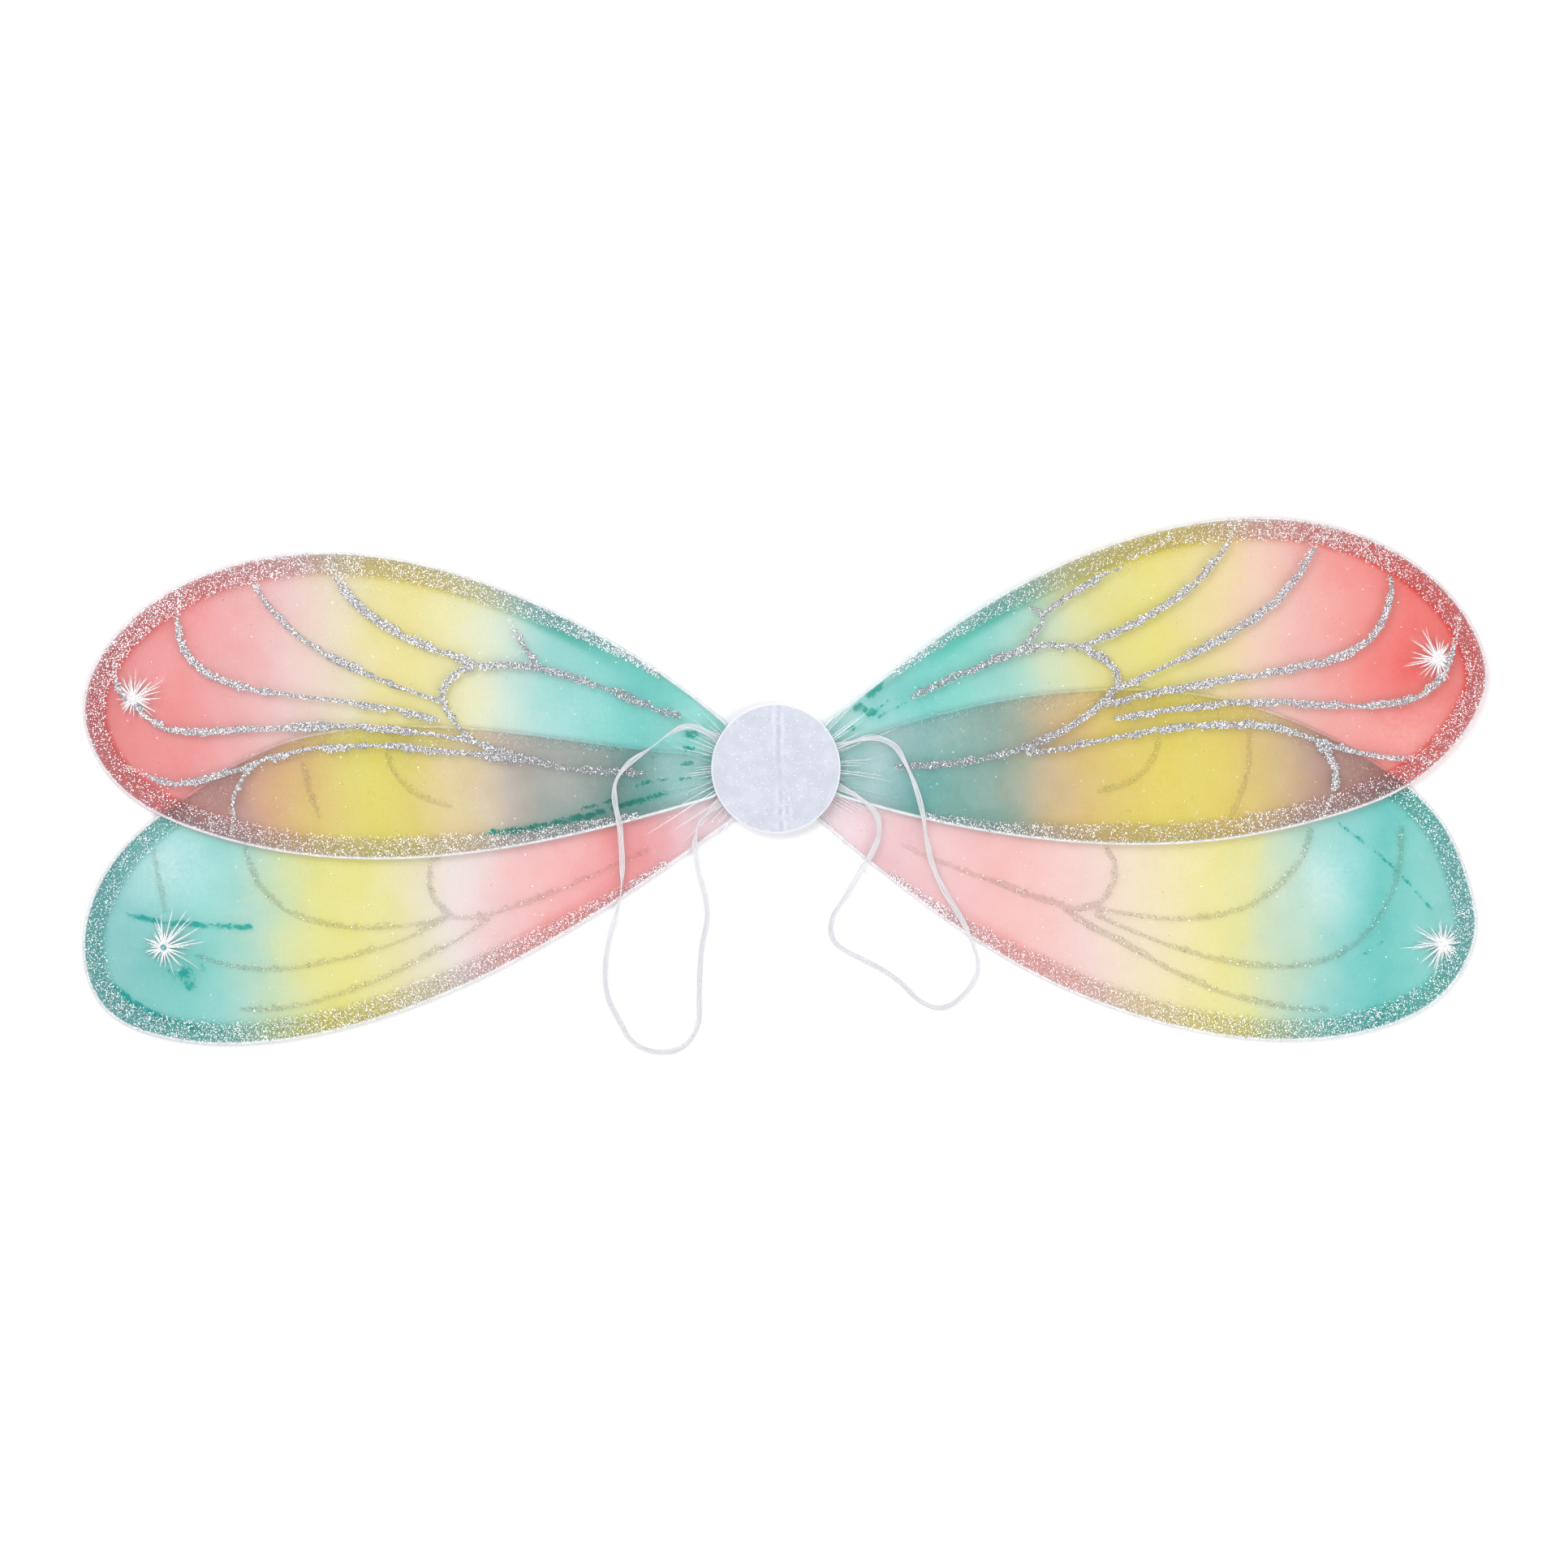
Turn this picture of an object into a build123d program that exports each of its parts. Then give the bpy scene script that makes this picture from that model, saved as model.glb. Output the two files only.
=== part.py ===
from build123d import *
import os
from math import radians, tan

# Fairy wings lying flat, front (strap side) up. Millimetres.
# Origin: centre of the hub, on the underside of the back disc. +X to the right, +Y to the
# top of the wings, +Z out of the front disc.

# ---- driving dimensions -------------------------------------------------------------
DISC_D = 78.0          # both felt discs of the hub
BACK_DISC_T = 1.6
FRONT_DISC_T = 2.0
FELT_ROUND = 0.5       # soft rim of the felt

WIRE_D = 1.8           # spring wire of the four wing frames
LOWER_Z = 3.35         # height of the lower wings' wire
UPPER_Z = 5.95         # height of the upper wings' wire
STRAP_Z = 8.7          # height of the straps where they leave the hub
FRONT_DISC_Z = 10.1    # underside of the front disc

MEMBRANE_T = 1.0       # two skins of nylon with the air between them
MEMBRANE_GAP = 0.15    # from the wire to the membrane's edge
GLITTER_T = 0.25       # glitter glue printed on the nylon
VEIN_W = 4.6
BAND_W = 13.0          # glitter band along the inside of the wire
BAND_MARGIN = 0.08     # part of the loop with no band, at each end
BAND_END_SHARE = 0.25  # width of the band's ends, as a part of its full width
BAND_GROWTH = 5.0      # how fast it widens away from them
BAND_STEPS = 24

LEG_PITCH = 2.2        # the two ends of a frame lie side by side in the root tie
TIE_START = 5.0        # root tie, along the wing, from the hub's centre
TIE_L = 8.0
TIE_WALL = 0.3
TIE_CLEAR = 0.05
LEG_SPARE = 0.5        # what the legs show at each end of the tie
LEG_HANDLE = 8.0       # how gently a leg bends from the tie into the loop
MEMBRANE_START = 16.0  # where the gathered neck of the nylon ends

TIP_KNOT_D = 5.0       # thread knot that closes the nylon near the tip
TIP_KNOT_H = 0.8
TIP_KNOT_ROUND = 0.55

TAPE_L = 20.0          # cloth tape wrapped round the four roots
TAPE_Y = (-8.6, 5.6)
TAPE_Z = (2.0, 7.3)
TAPE_T = 0.3
TAPE_ROUND = 1.0
GLUE_PAD_D = 30.0
GLUE_PAD_Z = 7.7

STRAP_D = 2.4          # elastic strap, as a round cord
KNOT_L = 5.0           # stitched-down end of a strap
KNOT_ROUND = 1.0
CORNER_SHARE = 0.45    # part of the shorter run that an arc of the strap takes up

# ---- outlines of the frames, along the wire's centre ---------------------------------
# x runs outwards from the hub's centre and y to the top, for the left wings as well as for
# the right ones. The frames are bent by hand, so no two are quite the same.
UPPER_LEFT_OUTLINE = [
    (32, 28.5), (76, 61.8), (125, 89.8), (199, 119), (272, 129.8), (345, 116.5), (398, 80),
    (417.3, 38), (402, -4), (346, -37.8), (248, -54), (125, -40), (40, -17.5),
]
UPPER_RIGHT_OUTLINE = [
    (33, 29.5), (72.5, 60), (122, 95.4), (195, 132), (262, 149), (330, 147), (391, 119),
    (423.5, 78), (428.6, 55), (415, 21.5), (384, -8), (335, -28.4), (267, -42.6), (193, -44.6),
    (95, -31), (40, -16.5),
]
LOWER_LEFT_OUTLINE = [
    (40, 8), (106, 15), (174, 23.4), (243, 24.9), (302, 14), (358, -18.2), (394, -48),
    (418, -112), (405.5, -144.5), (370, -162), (321, -165.9), (248, -153), (174, -123.9),
    (100, -81.7), (27, -31),
]
LOWER_RIGHT_OUTLINE = [
    (40, 15), (95, 32), (150, 43.6), (205, 48), (266, 43), (315, 28), (364, 2.4),
    (403, -33.6), (419, -71), (422.8, -94), (403, -136), (355, -158.9), (306, -163.9),
    (232, -153), (159, -125), (85, -78), (27, -31),
]

# ---- glitter veins, in the same frame -------------------------------------------------
UPPER_LEFT_VEINS = [
    [(399, 66), (398, 50), (388, 38), (371, 25), (338, 21.5), (272, 26), (223, 23), (176, 14)],
    [(361, 100), (361.5, 85), (356, 68), (338, 54), (300, 45), (248, 39), (202, 29)],
    [(319, 117), (306, 98), (282, 75), (257, 61), (232, 51), (202, 40)],
    [(271, 126), (252, 98), (223, 79), (180, 62)],
    [(180, 62), (192, 59), (202.4, 45), (196, 30), (175, 13), (155, 6), (116, -1.5), (76, -2.5)],
    [(180, 62), (145, 62), (125, 57), (101, 47.5), (57, 30.5)],
    [(158, 84), (154, 76), (143, 62)],
    [(379, -5), (368, -9), (331, -3), (304, 7), (272, 13), (223, 13), (174, 8), (150, 4)],
    [(311, 4), (325, -11), (328, -21), (323, -35)],
]
UPPER_RIGHT_VEINS = [
    [(411, 84), (408, 68), (400, 52), (384, 41.7), (352, 37.5), (300, 40.5), (255, 38),
     (203, 30)],
    [(369.5, 122), (371.5, 104), (360, 79), (326, 63), (267, 52.5), (198, 37.5)],
    [(326.5, 137), (306, 105), (267, 77), (204, 47)],
    [(276.5, 143), (266, 126), (237, 99), (180, 72.5)],
    [(166, 73), (191, 70.5), (207, 55), (195, 37), (159, 15.5), (120, 4.5), (71, 1)],
    [(175, 74), (144, 70.5), (110, 56), (80, 42.5)],
    [(152, 97), (161, 92), (156, 81), (146, 71)],
    [(161, 92), (188, 112), (223, 131)],
    [(387, 6), (360, 8), (323, 18), (306, 24.5), (282, 27), (232, 24), (183, 14), (150, 9)],
    [(325, 15), (337, 3), (338, -10), (331, -23)],
]
LOWER_LEFT_VEINS = [
    [(377, -45), (375, -60), (369, -88)],
    [(352, -112), (312, -121.5), (272, -117.5), (243, -110), (198, -90)],
    [(321, -46), (317, -62), (304, -80), (287, -90.5), (262, -96), (233, -96), (198, -89)],
    [(204, -50), (210, -63), (207, -79), (194, -90), (174, -88), (155, -83), (106, -62),
     (76, -48)],
    [(326, -145), (297, -145), (262, -136), (204, -110), (172, -90)],
    [(236, 11), (230, -4), (194, -23)],
    [(287, 11), (284, -8), (275, -31)],
]
LOWER_RIGHT_VEINS = [
    [(378, -33), (377, -60), (355, -102), (335, -115), (306, -120), (276, -117.5), (247, -110),
     (192, -88)],
    [(324, -35), (321, -48), (296, -77.5), (276, -87), (247, -91), (192, -84)],
    [(199, -47), (205, -58), (203, -73), (190, -84), (173, -83), (149, -75), (95, -54.5),
     (75, -45.5)],
    [(335, -146), (296, -142.5), (266, -134), (208, -104.5), (172, -84)],
    [(232, 20), (228, 5), (193, -14)],
    [(286, 23), (286, 3), (274, -31)],
]

# ---- the four wings --------------------------------------------------------------------
# root: middle of the root tie, across the wing. printed: +1 the front skin, -1 the back one.
WINGS = {
    "upper_left": dict(side=-1, z=UPPER_Z, root=2.0, outline=UPPER_LEFT_OUTLINE,
                       veins=UPPER_LEFT_VEINS, printed=1, knot=(388, 42)),
    "upper_right": dict(side=1, z=UPPER_Z, root=2.0, outline=UPPER_RIGHT_OUTLINE,
                        veins=UPPER_RIGHT_VEINS, printed=1, knot=(400, 66)),
    "lower_left": dict(side=-1, z=LOWER_Z, root=-5.0, outline=LOWER_LEFT_OUTLINE,
                       veins=LOWER_LEFT_VEINS, printed=-1, knot=(370, -108)),
    "lower_right": dict(side=1, z=LOWER_Z, root=-5.0, outline=LOWER_RIGHT_OUTLINE,
                        veins=LOWER_RIGHT_VEINS, printed=-1, knot=(403, -106)),
}

# ---- straps: x, y, z from the upper knot round the shoulder loop to the lower knot ------
LEFT_STRAP = [
    (-26, 13, STRAP_Z), (-39, 21, STRAP_Z), (-53.5, 27, STRAP_Z), (-66, 20, STRAP_Z),
    (-77, 11, STRAP_Z), (-88, 4.5, STRAP_Z), (-97.5, -7, STRAP_Z), (-97.5, -20, STRAP_Z),
    (-94, -34, STRAP_Z), (-93, -50, 7.4), (-92.5, -67, 6.3), (-95, -84, 6.2), (-100, -99, 3.0),
    (-103.5, -118, 1.3), (-103, -137, 1.25), (-95, -152, 1.25), (-87.5, -166, 1.25),
    (-73, -172.5, 1.25), (-56, -170, 1.25), (-46, -156, 1.25), (-46.5, -138, 1.25),
    (-46, -120, 1.25), (-44.5, -105, 1.25), (-41, -91, 1.3), (-42.5, -77, 2.2),
    (-47.5, -61, 5.4), (-49.5, -46, 6.9), (-47, -33, 8.0), (-37, -22, STRAP_Z),
    (-26, -15, STRAP_Z),
]
RIGHT_STRAP = [
    (26, 11, STRAP_Z), (41, 14.5, STRAP_Z), (58, 20, STRAP_Z), (72, 15, STRAP_Z),
    (79.5, 1, STRAP_Z), (85, -12.5, STRAP_Z), (89, -27.5, STRAP_Z), (91, -44, 8.2),
    (95, -61, 6.6), (103, -76.5, 6.3), (112, -90, 6.3), (118.5, -104.5, 6.4),
    (123.5, -120, 4.6), (117.5, -134, 1.3), (103, -146, 1.25), (88, -142.5, 1.25),
    (74.5, -128, 1.25), (61, -119.5, 1.25), (45, -112, 1.25), (33, -104, 1.25),
    (33.5, -89, 1.25), (43, -77, 1.8), (49.5, -64, 4.4), (57.5, -52.5, 6.4), (63, -40, 7.4),
    (61.5, -27, 8.4), (51, -17.5, STRAP_Z), (38.5, -11, STRAP_Z), (26.5, -6, STRAP_Z),
]

WIRE_R = WIRE_D / 2


def placed(point, wing):
    """A point of a wing's own outline, in the frame of the whole object."""
    return (wing["side"] * point[0], point[1])


def leg_bend(exit_point, shoulder, along, wing):
    """The hidden bend of a leg, from the root tie's mouth to the start of the loop."""
    tie_handle = Vector(wing["side"] * LEG_HANDLE, 0, 0)
    return Bezier(exit_point, exit_point + tie_handle, shoulder - along * LEG_HANDLE, shoulder)


def frame_path(wing):
    """The centre line of one frame, and the same line without the legs in the root tie."""
    legs = [wing["root"] + s * LEG_PITCH / 2 for s in (1, -1)]
    ends = [Vector(*placed((TIE_START - LEG_SPARE, y), wing)) for y in legs]
    exits = [Vector(*placed((TIE_START + TIE_L + LEG_SPARE, y), wing)) for y in legs]
    loop = Spline([placed(p, wing) for p in wing["outline"]])
    first_bend = leg_bend(exits[0], loop @ 0, loop % 0, wing)
    last_bend = leg_bend(exits[1], loop @ 1, (loop % 1) * -1, wing)
    lift = Pos(0, 0, wing["z"])
    open_loop = [first_bend, loop, last_bend]
    path = Wire([Line(ends[0], exits[0]), *open_loop, Line(exits[1], ends[1])])
    rim = Wire([*open_loop, Line(exits[1], exits[0])])
    return lift * path, lift * Wire(open_loop), lift * rim, loop


def tube(path, radius):
    start = Plane(origin=path @ 0, z_dir=path % 0)
    return sweep(start * Circle(radius), path=path)


def membrane(wing, open_loop, rim):
    """The nylon of one wing, filling the frame from wire to wire."""
    plate = extrude(make_face(rim), MEMBRANE_T / 2, dir=(0, 0, 1), both=True)
    groove = tube(open_loop, WIRE_R + MEMBRANE_GAP)
    hub_side = Pos(0, 0, wing["z"]) * Box(2 * MEMBRANE_START, DISC_D, WIRE_D)
    body = plate - groove - hub_side
    return max(body.solids(), key=lambda s: s.volume)


def band_face(wing, loop):
    """The glitter band: it follows the wire and narrows towards the root."""
    outer, inner = [], []
    for i in range(BAND_STEPS + 1):
        share = i / BAND_STEPS
        t = BAND_MARGIN + (1 - 2 * BAND_MARGIN) * share
        near_root = min(share, 1 - share)
        width = BAND_W * min(1.0, BAND_END_SHARE + BAND_GROWTH * near_root)
        point, along = loop @ t, loop % t
        inward = Vector(along.Y, -along.X, 0) * wing["side"]
        outer.append(point + inward * (WIRE_R + 2 * MEMBRANE_GAP))
        inner.append(point + inward * width)
    edges = [Spline(outer), Line(outer[-1], inner[-1]), Spline(inner[::-1]),
             Line(inner[0], outer[0])]
    return make_face(Wire(edges))


def on_skin(wing, face):
    """A flat face of glitter as a thin layer on the wing's printed skin."""
    skin_z = wing["z"] + wing["printed"] * MEMBRANE_T / 2
    return extrude(Pos(0, 0, skin_z) * face, GLITTER_T, dir=(0, 0, wing["printed"]))


def vein_faces(wing, band):
    """All veins of one wing, joined where they meet, clear of the band and of the knot."""
    veins = Sketch()
    for points in wing["veins"]:
        veins += trace(Spline([placed(p, wing) for p in points]), VEIN_W)
    knot = Pos(*placed(wing["knot"], wing)) * Circle(TIP_KNOT_D / 2 + MEMBRANE_GAP)
    return veins - band - knot


def root_tie(wing):
    """Thread wound round the two legs of a frame."""
    outer_w = LEG_PITCH + WIRE_D + 2 * (TIE_CLEAR + TIE_WALL)
    outer_h = WIRE_D + 2 * (TIE_CLEAR + TIE_WALL)
    hole = SlotOverall(outer_w - 2 * TIE_WALL, outer_h - 2 * TIE_WALL)
    x, y = placed((TIE_START + TIE_L / 2, wing["root"]), wing)
    middle = Plane(origin=(x, y, wing["z"]), x_dir=(0, 1, 0), z_dir=(1, 0, 0))
    return extrude(middle * (SlotOverall(outer_w, outer_h) - hole), TIE_L / 2, both=True)


def tip_knot(wing):
    """The thread knot in the middle of the gathers, a low dome on the front skin."""
    x, y = placed(wing["knot"], wing)
    dome = extrude(Circle(TIP_KNOT_D / 2), TIP_KNOT_H)
    dome = fillet(dome.edges().group_by(Axis.Z)[-1], TIP_KNOT_ROUND)
    return Pos(x, y, wing["z"] + MEMBRANE_T / 2) * dome


def felt_disc(z, thickness):
    disc = extrude(Pos(0, 0, z) * Circle(DISC_D / 2), thickness)
    return fillet(disc.edges().filter_by(GeomType.CIRCLE), FELT_ROUND)


def hub_tape():
    """Cloth tape wrapped round the four roots, as a flat sleeve along X."""
    width, height = TAPE_Y[1] - TAPE_Y[0], TAPE_Z[1] - TAPE_Z[0]
    middle = Pos(0, (TAPE_Y[0] + TAPE_Y[1]) / 2, (TAPE_Z[0] + TAPE_Z[1]) / 2)
    outside = Box(TAPE_L, width + 2 * TAPE_T, height + 2 * TAPE_T)
    outside = fillet(outside.edges().filter_by(Axis.X), TAPE_ROUND)
    return middle * (outside - Box(TAPE_L, width, height))


def strap(name, points):
    """A strap: straight runs joined by arcs as large as the runs allow."""
    vectors = [Vector(*p) for p in points]
    runs = [b - a for a, b in zip(vectors, vectors[1:])]
    radii = []
    for before, after in zip(runs, runs[1:]):
        half_turn = radians(before.get_angle(after)) / 2
        radii.append(CORNER_SHARE * min(before.length, after.length) / tan(half_turn))
    path = FilletPolyline(*points, radius=radii)
    solid = tube(path, STRAP_D / 2)
    section = Circle(STRAP_D / 2).area
    print(name, "length", round(path.length, 1), "runs", round(sum(r.length for r in runs), 1),
          "volume ratio", round(solid.volume / (section * path.length), 4))
    print(name, "radii", [round(r, 1) for r in radii])
    return solid


def strap_knot(end, after):
    """The sewn-down end of a strap: a flat tab whose face meets the strap's end."""
    out = (Vector(*after) - Vector(*end)).normalized()
    start = Plane(origin=end, x_dir=(-out.Y, out.X, 0), z_dir=out)
    tab = extrude(start * Rectangle(KNOT_L, STRAP_D), -KNOT_L)
    return fillet(tab.edges().filter_by(Axis.Z), KNOT_ROUND)


def save(name, solid):
    solid.label = name
    export_step(solid, f"parts/{name}.step")


os.makedirs("parts", exist_ok=True)

save("back_disc", felt_disc(0, BACK_DISC_T))
save("front_disc", felt_disc(FRONT_DISC_Z, FRONT_DISC_T))
save("hub_tape", hub_tape())
save("glue_pad", extrude(Pos(0, 0, GLUE_PAD_Z) * Circle(GLUE_PAD_D / 2),
                         FRONT_DISC_Z - GLUE_PAD_Z))

for wing_name, wing in WINGS.items():
    path, open_loop, rim, loop = frame_path(wing)
    band = band_face(wing, loop)
    save(f"{wing_name}_frame", tube(path, WIRE_R))
    save(f"{wing_name}_membrane", membrane(wing, open_loop, rim))
    save(f"{wing_name}_root_tie", root_tie(wing))
    save(f"{wing_name}_tip_knot", tip_knot(wing))
    save(f"{wing_name}_edge_glitter", on_skin(wing, band))
    save(f"{wing_name}_veins", on_skin(wing, vein_faces(wing, band)))
    print(wing_name, "frame length", round(path.length))

for side_name, points in (("left", LEFT_STRAP), ("right", RIGHT_STRAP)):
    save(f"{side_name}_strap", strap(side_name, points))
    save(f"{side_name}_upper_knot", strap_knot(points[0], points[1]))
    save(f"{side_name}_lower_knot", strap_knot(points[-1], points[-2]))
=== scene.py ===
from math import cos, pi, radians, sin

import bpy
import numpy as np
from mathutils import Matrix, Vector, geometry, noise


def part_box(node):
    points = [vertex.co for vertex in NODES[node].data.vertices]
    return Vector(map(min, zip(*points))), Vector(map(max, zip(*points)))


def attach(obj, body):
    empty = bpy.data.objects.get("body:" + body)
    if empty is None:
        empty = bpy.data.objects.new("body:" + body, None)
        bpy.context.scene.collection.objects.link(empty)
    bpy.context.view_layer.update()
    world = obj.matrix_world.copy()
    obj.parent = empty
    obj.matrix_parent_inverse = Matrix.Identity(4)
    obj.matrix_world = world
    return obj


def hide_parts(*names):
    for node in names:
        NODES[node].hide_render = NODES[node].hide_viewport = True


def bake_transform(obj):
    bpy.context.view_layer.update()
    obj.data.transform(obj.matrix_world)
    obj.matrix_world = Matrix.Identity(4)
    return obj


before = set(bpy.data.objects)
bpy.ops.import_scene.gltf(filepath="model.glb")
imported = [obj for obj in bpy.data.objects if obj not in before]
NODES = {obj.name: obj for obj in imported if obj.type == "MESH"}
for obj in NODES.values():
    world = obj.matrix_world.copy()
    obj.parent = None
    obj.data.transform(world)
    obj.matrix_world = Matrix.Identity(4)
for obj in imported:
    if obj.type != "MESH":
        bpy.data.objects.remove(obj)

# Fairy wings: camera, stage and straps, then the hub, the nylon, the gathers and the glitter.
# Sizes in this script are in millimetres, except where a name says otherwise.

MM = 0.001
SCENE = bpy.context.scene
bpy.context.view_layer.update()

# ---- camera -------------------------------------------------------------------------
VIEW_W = 946.7            # what the picture's width shows at the height of the wings
VIEW_CENTRE = (4.9, -9.3)
LENS = 100.0
SENSOR = 36.0
WING_Z = 6.0


def make_camera():
    data = bpy.data.cameras.new("camera")
    data.lens, data.sensor_width = LENS, SENSOR
    camera = bpy.data.objects.new("camera", data)
    SCENE.collection.objects.link(camera)
    distance = VIEW_W * LENS / SENSOR
    camera.location = Vector((*VIEW_CENTRE, WING_Z + distance)) * MM
    data.clip_start, data.clip_end = 0.01, 20
    SCENE.camera = camera


make_camera()

# ---- mesh helpers -------------------------------------------------------------------


def link_mesh(name, mesh, attributes):
    """A linked object of the mesh; attributes are one float per vertex."""
    for key, values in (attributes or {}).items():
        layer = mesh.attributes.new(key, "FLOAT", "POINT")
        layer.data.foreach_set("value", np.asarray(values, np.float32))
    obj = bpy.data.objects.new(name, mesh)
    SCENE.collection.objects.link(obj)
    return obj


def build(name, verts, faces, smooth=True, attributes=None):
    """A linked mesh object from vertices in millimetres."""
    mesh = bpy.data.meshes.new(name)
    verts = np.asarray(verts, float) * MM
    mesh.from_pydata(verts.tolist(), [], [tuple(int(i) for i in f) for f in faces])
    mesh.polygons.foreach_set("use_smooth", [smooth] * len(mesh.polygons))
    mesh.update()
    return link_mesh(name, mesh, attributes)


def build_triangles(name, verts, triangles, attributes):
    """The same for a large array of flat-shaded triangles."""
    mesh = bpy.data.meshes.new(name)
    mesh.vertices.add(len(verts))
    mesh.vertices.foreach_set("co", (np.asarray(verts) * MM).astype(np.float32).ravel())
    mesh.loops.add(3 * len(triangles))
    mesh.loops.foreach_set("vertex_index", np.asarray(triangles, np.int32).ravel())
    mesh.polygons.add(len(triangles))
    mesh.polygons.foreach_set("loop_start", np.arange(0, 3 * len(triangles), 3, dtype=np.int32))
    mesh.update(calc_edges=True)
    mesh.shade_flat()
    return link_mesh(name, mesh, attributes)


def place_piece(piece, material, body=None, node=None):
    """Its material and slot, the body it moves with and the CAD node that it stands for."""
    piece.data.materials.append(material)
    if body:
        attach(piece, body)
    if node:
        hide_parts(node)


def smoothstep(x, low, high):
    t = np.clip((np.asarray(x, float) - low) / (high - low), 0, 1)
    return t * t * (3 - 2 * t)


def noise_at(x, y, z):
    return noise.noise(Vector((x, y, z)))


def distance_along(line):
    """How far along the line each of its points is."""
    return np.r_[0, np.cumsum(np.linalg.norm(np.diff(line, axis=0), axis=1))]


def directions(line):
    """The unit direction of the line at each of its points."""
    along = np.gradient(line, axis=0)
    return along / np.linalg.norm(along, axis=1)[:, None]


def wobble(points, scale, seed):
    """Smooth noise from -1 to 1 at each point (n x 2 or n x 3, mm); scale is its size in mm."""
    out = np.empty(len(points))
    for i, p in enumerate(points):
        out[i] = noise_at(p[0] / scale, p[1] / scale, seed)
    return out


def grid_faces(rows, columns, close=False, start=0, flip=False):
    """Quads over a rows x columns block of vertices; close joins the last column to the first."""
    faces = []
    for r in range(rows - 1):
        for c in range(columns if close else columns - 1):
            d = (c + 1) % columns
            quad = (start + r * columns + c, start + r * columns + d,
                    start + (r + 1) * columns + d, start + (r + 1) * columns + c)
            faces.append(quad[::-1] if flip else quad)
    return faces


def tubes(paths, radius, sides=6):
    """Closed round tubes along several paths: verts, faces and each vertex's length along."""
    verts, faces, along = [], [], []
    angles = np.arange(sides) * 2 * pi / sides
    for path in paths:
        path = np.asarray(path, float)
        tangents = directions(path)
        lengths = distance_along(path)
        side = np.cross(tangents[0], (0, 0, 1))
        if np.linalg.norm(side) < 0.1:
            side = np.cross(tangents[0], (0, 1, 0))
        start = len(verts)
        for point, tangent, length in zip(path, tangents, lengths):
            side = side - tangent * (side @ tangent)
            side /= np.linalg.norm(side)
            up = np.cross(side, tangent)
            for a in angles:
                verts.append(point + radius * (cos(a) * side + sin(a) * up))
                along.append(length)
        faces += grid_faces(len(path), sides, close=True, start=start, flip=True)
        faces.append(tuple(range(start, start + sides)))
        last = start + (len(path) - 1) * sides
        faces.append(tuple(range(last, last + sides))[::-1])
    return verts, faces, along


# ---- material helpers ---------------------------------------------------------------


class Graph:
    """Short calls for a material's nodes. A socket is linked, and a number is set on it."""

    def __init__(self, name):
        self.material = bpy.data.materials.new(name)
        self.material.use_nodes = True
        self.tree = self.material.node_tree
        self.tree.nodes.clear()

    def node(self, kind, inputs=None, **settings):
        made = self.tree.nodes.new("ShaderNode" + kind)
        for key, value in settings.items():
            setattr(made, key, value)
        for key, value in (inputs or {}).items():
            if isinstance(value, bpy.types.NodeSocket):
                self.tree.links.new(value, made.inputs[key])
            else:
                made.inputs[key].default_value = value
        return made

    def math(self, operation, a, b=0.0, c=0.0, clamp=False):
        return self.node("Math", {0: a, 1: b, 2: c}, operation=operation,
                         use_clamp=clamp).outputs[0]

    def mix(self, amount, a, b, blend="MIX"):
        return self.node("Mix", {0: amount, 6: a, 7: b}, data_type="RGBA",
                         blend_type=blend).outputs[2]

    def remap(self, value, low, high, to_low=0.0, to_high=1.0):
        return self.node("MapRange", {0: value, 1: low, 2: high, 3: to_low, 4: to_high},
                         interpolation_type="SMOOTHSTEP").outputs[0]

    def attribute(self, name):
        return self.node("Attribute", attribute_name=name).outputs["Fac"]

    def place(self):
        return self.node("TexCoord").outputs["Object"]

    def noise(self, where, size_mm, detail=3.0, rough=0.55):
        return self.node("TexNoise", {"Vector": where, "Scale": 1 / (size_mm * MM),
                                      "Detail": detail, "Roughness": rough}).outputs["Fac"]

    def ramp(self, value, stops):
        made = self.node("ValToRGB", {0: value})
        elements = made.color_ramp.elements
        elements[0].position, elements[0].color = stops[0][0], stops[0][1]
        elements[1].position, elements[1].color = stops[-1][0], stops[-1][1]
        for position, colour in stops[1:-1]:
            elements.new(position).color = colour
        return made.outputs[0]

    def bump(self, height, strength, distance_mm):
        return self.node("Bump", {"Height": height, "Strength": strength,
                                  "Distance": distance_mm * MM}).outputs["Normal"]

    def done(self, shader):
        out = self.node("OutputMaterial")
        self.tree.links.new(shader, out.inputs["Surface"])
        return self.material


def linear(hex_colour):
    """#rrggbb as linear RGBA."""
    values = [int(hex_colour[i:i + 2], 16) / 255 for i in (1, 3, 5)]
    values = [v / 12.92 if v <= 0.04045 else ((v + 0.055) / 1.055) ** 2.4 for v in values]
    return (*values, 1.0)


# ---- stage and light ----------------------------------------------------------------
FLOOR_HALF = 4000


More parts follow.
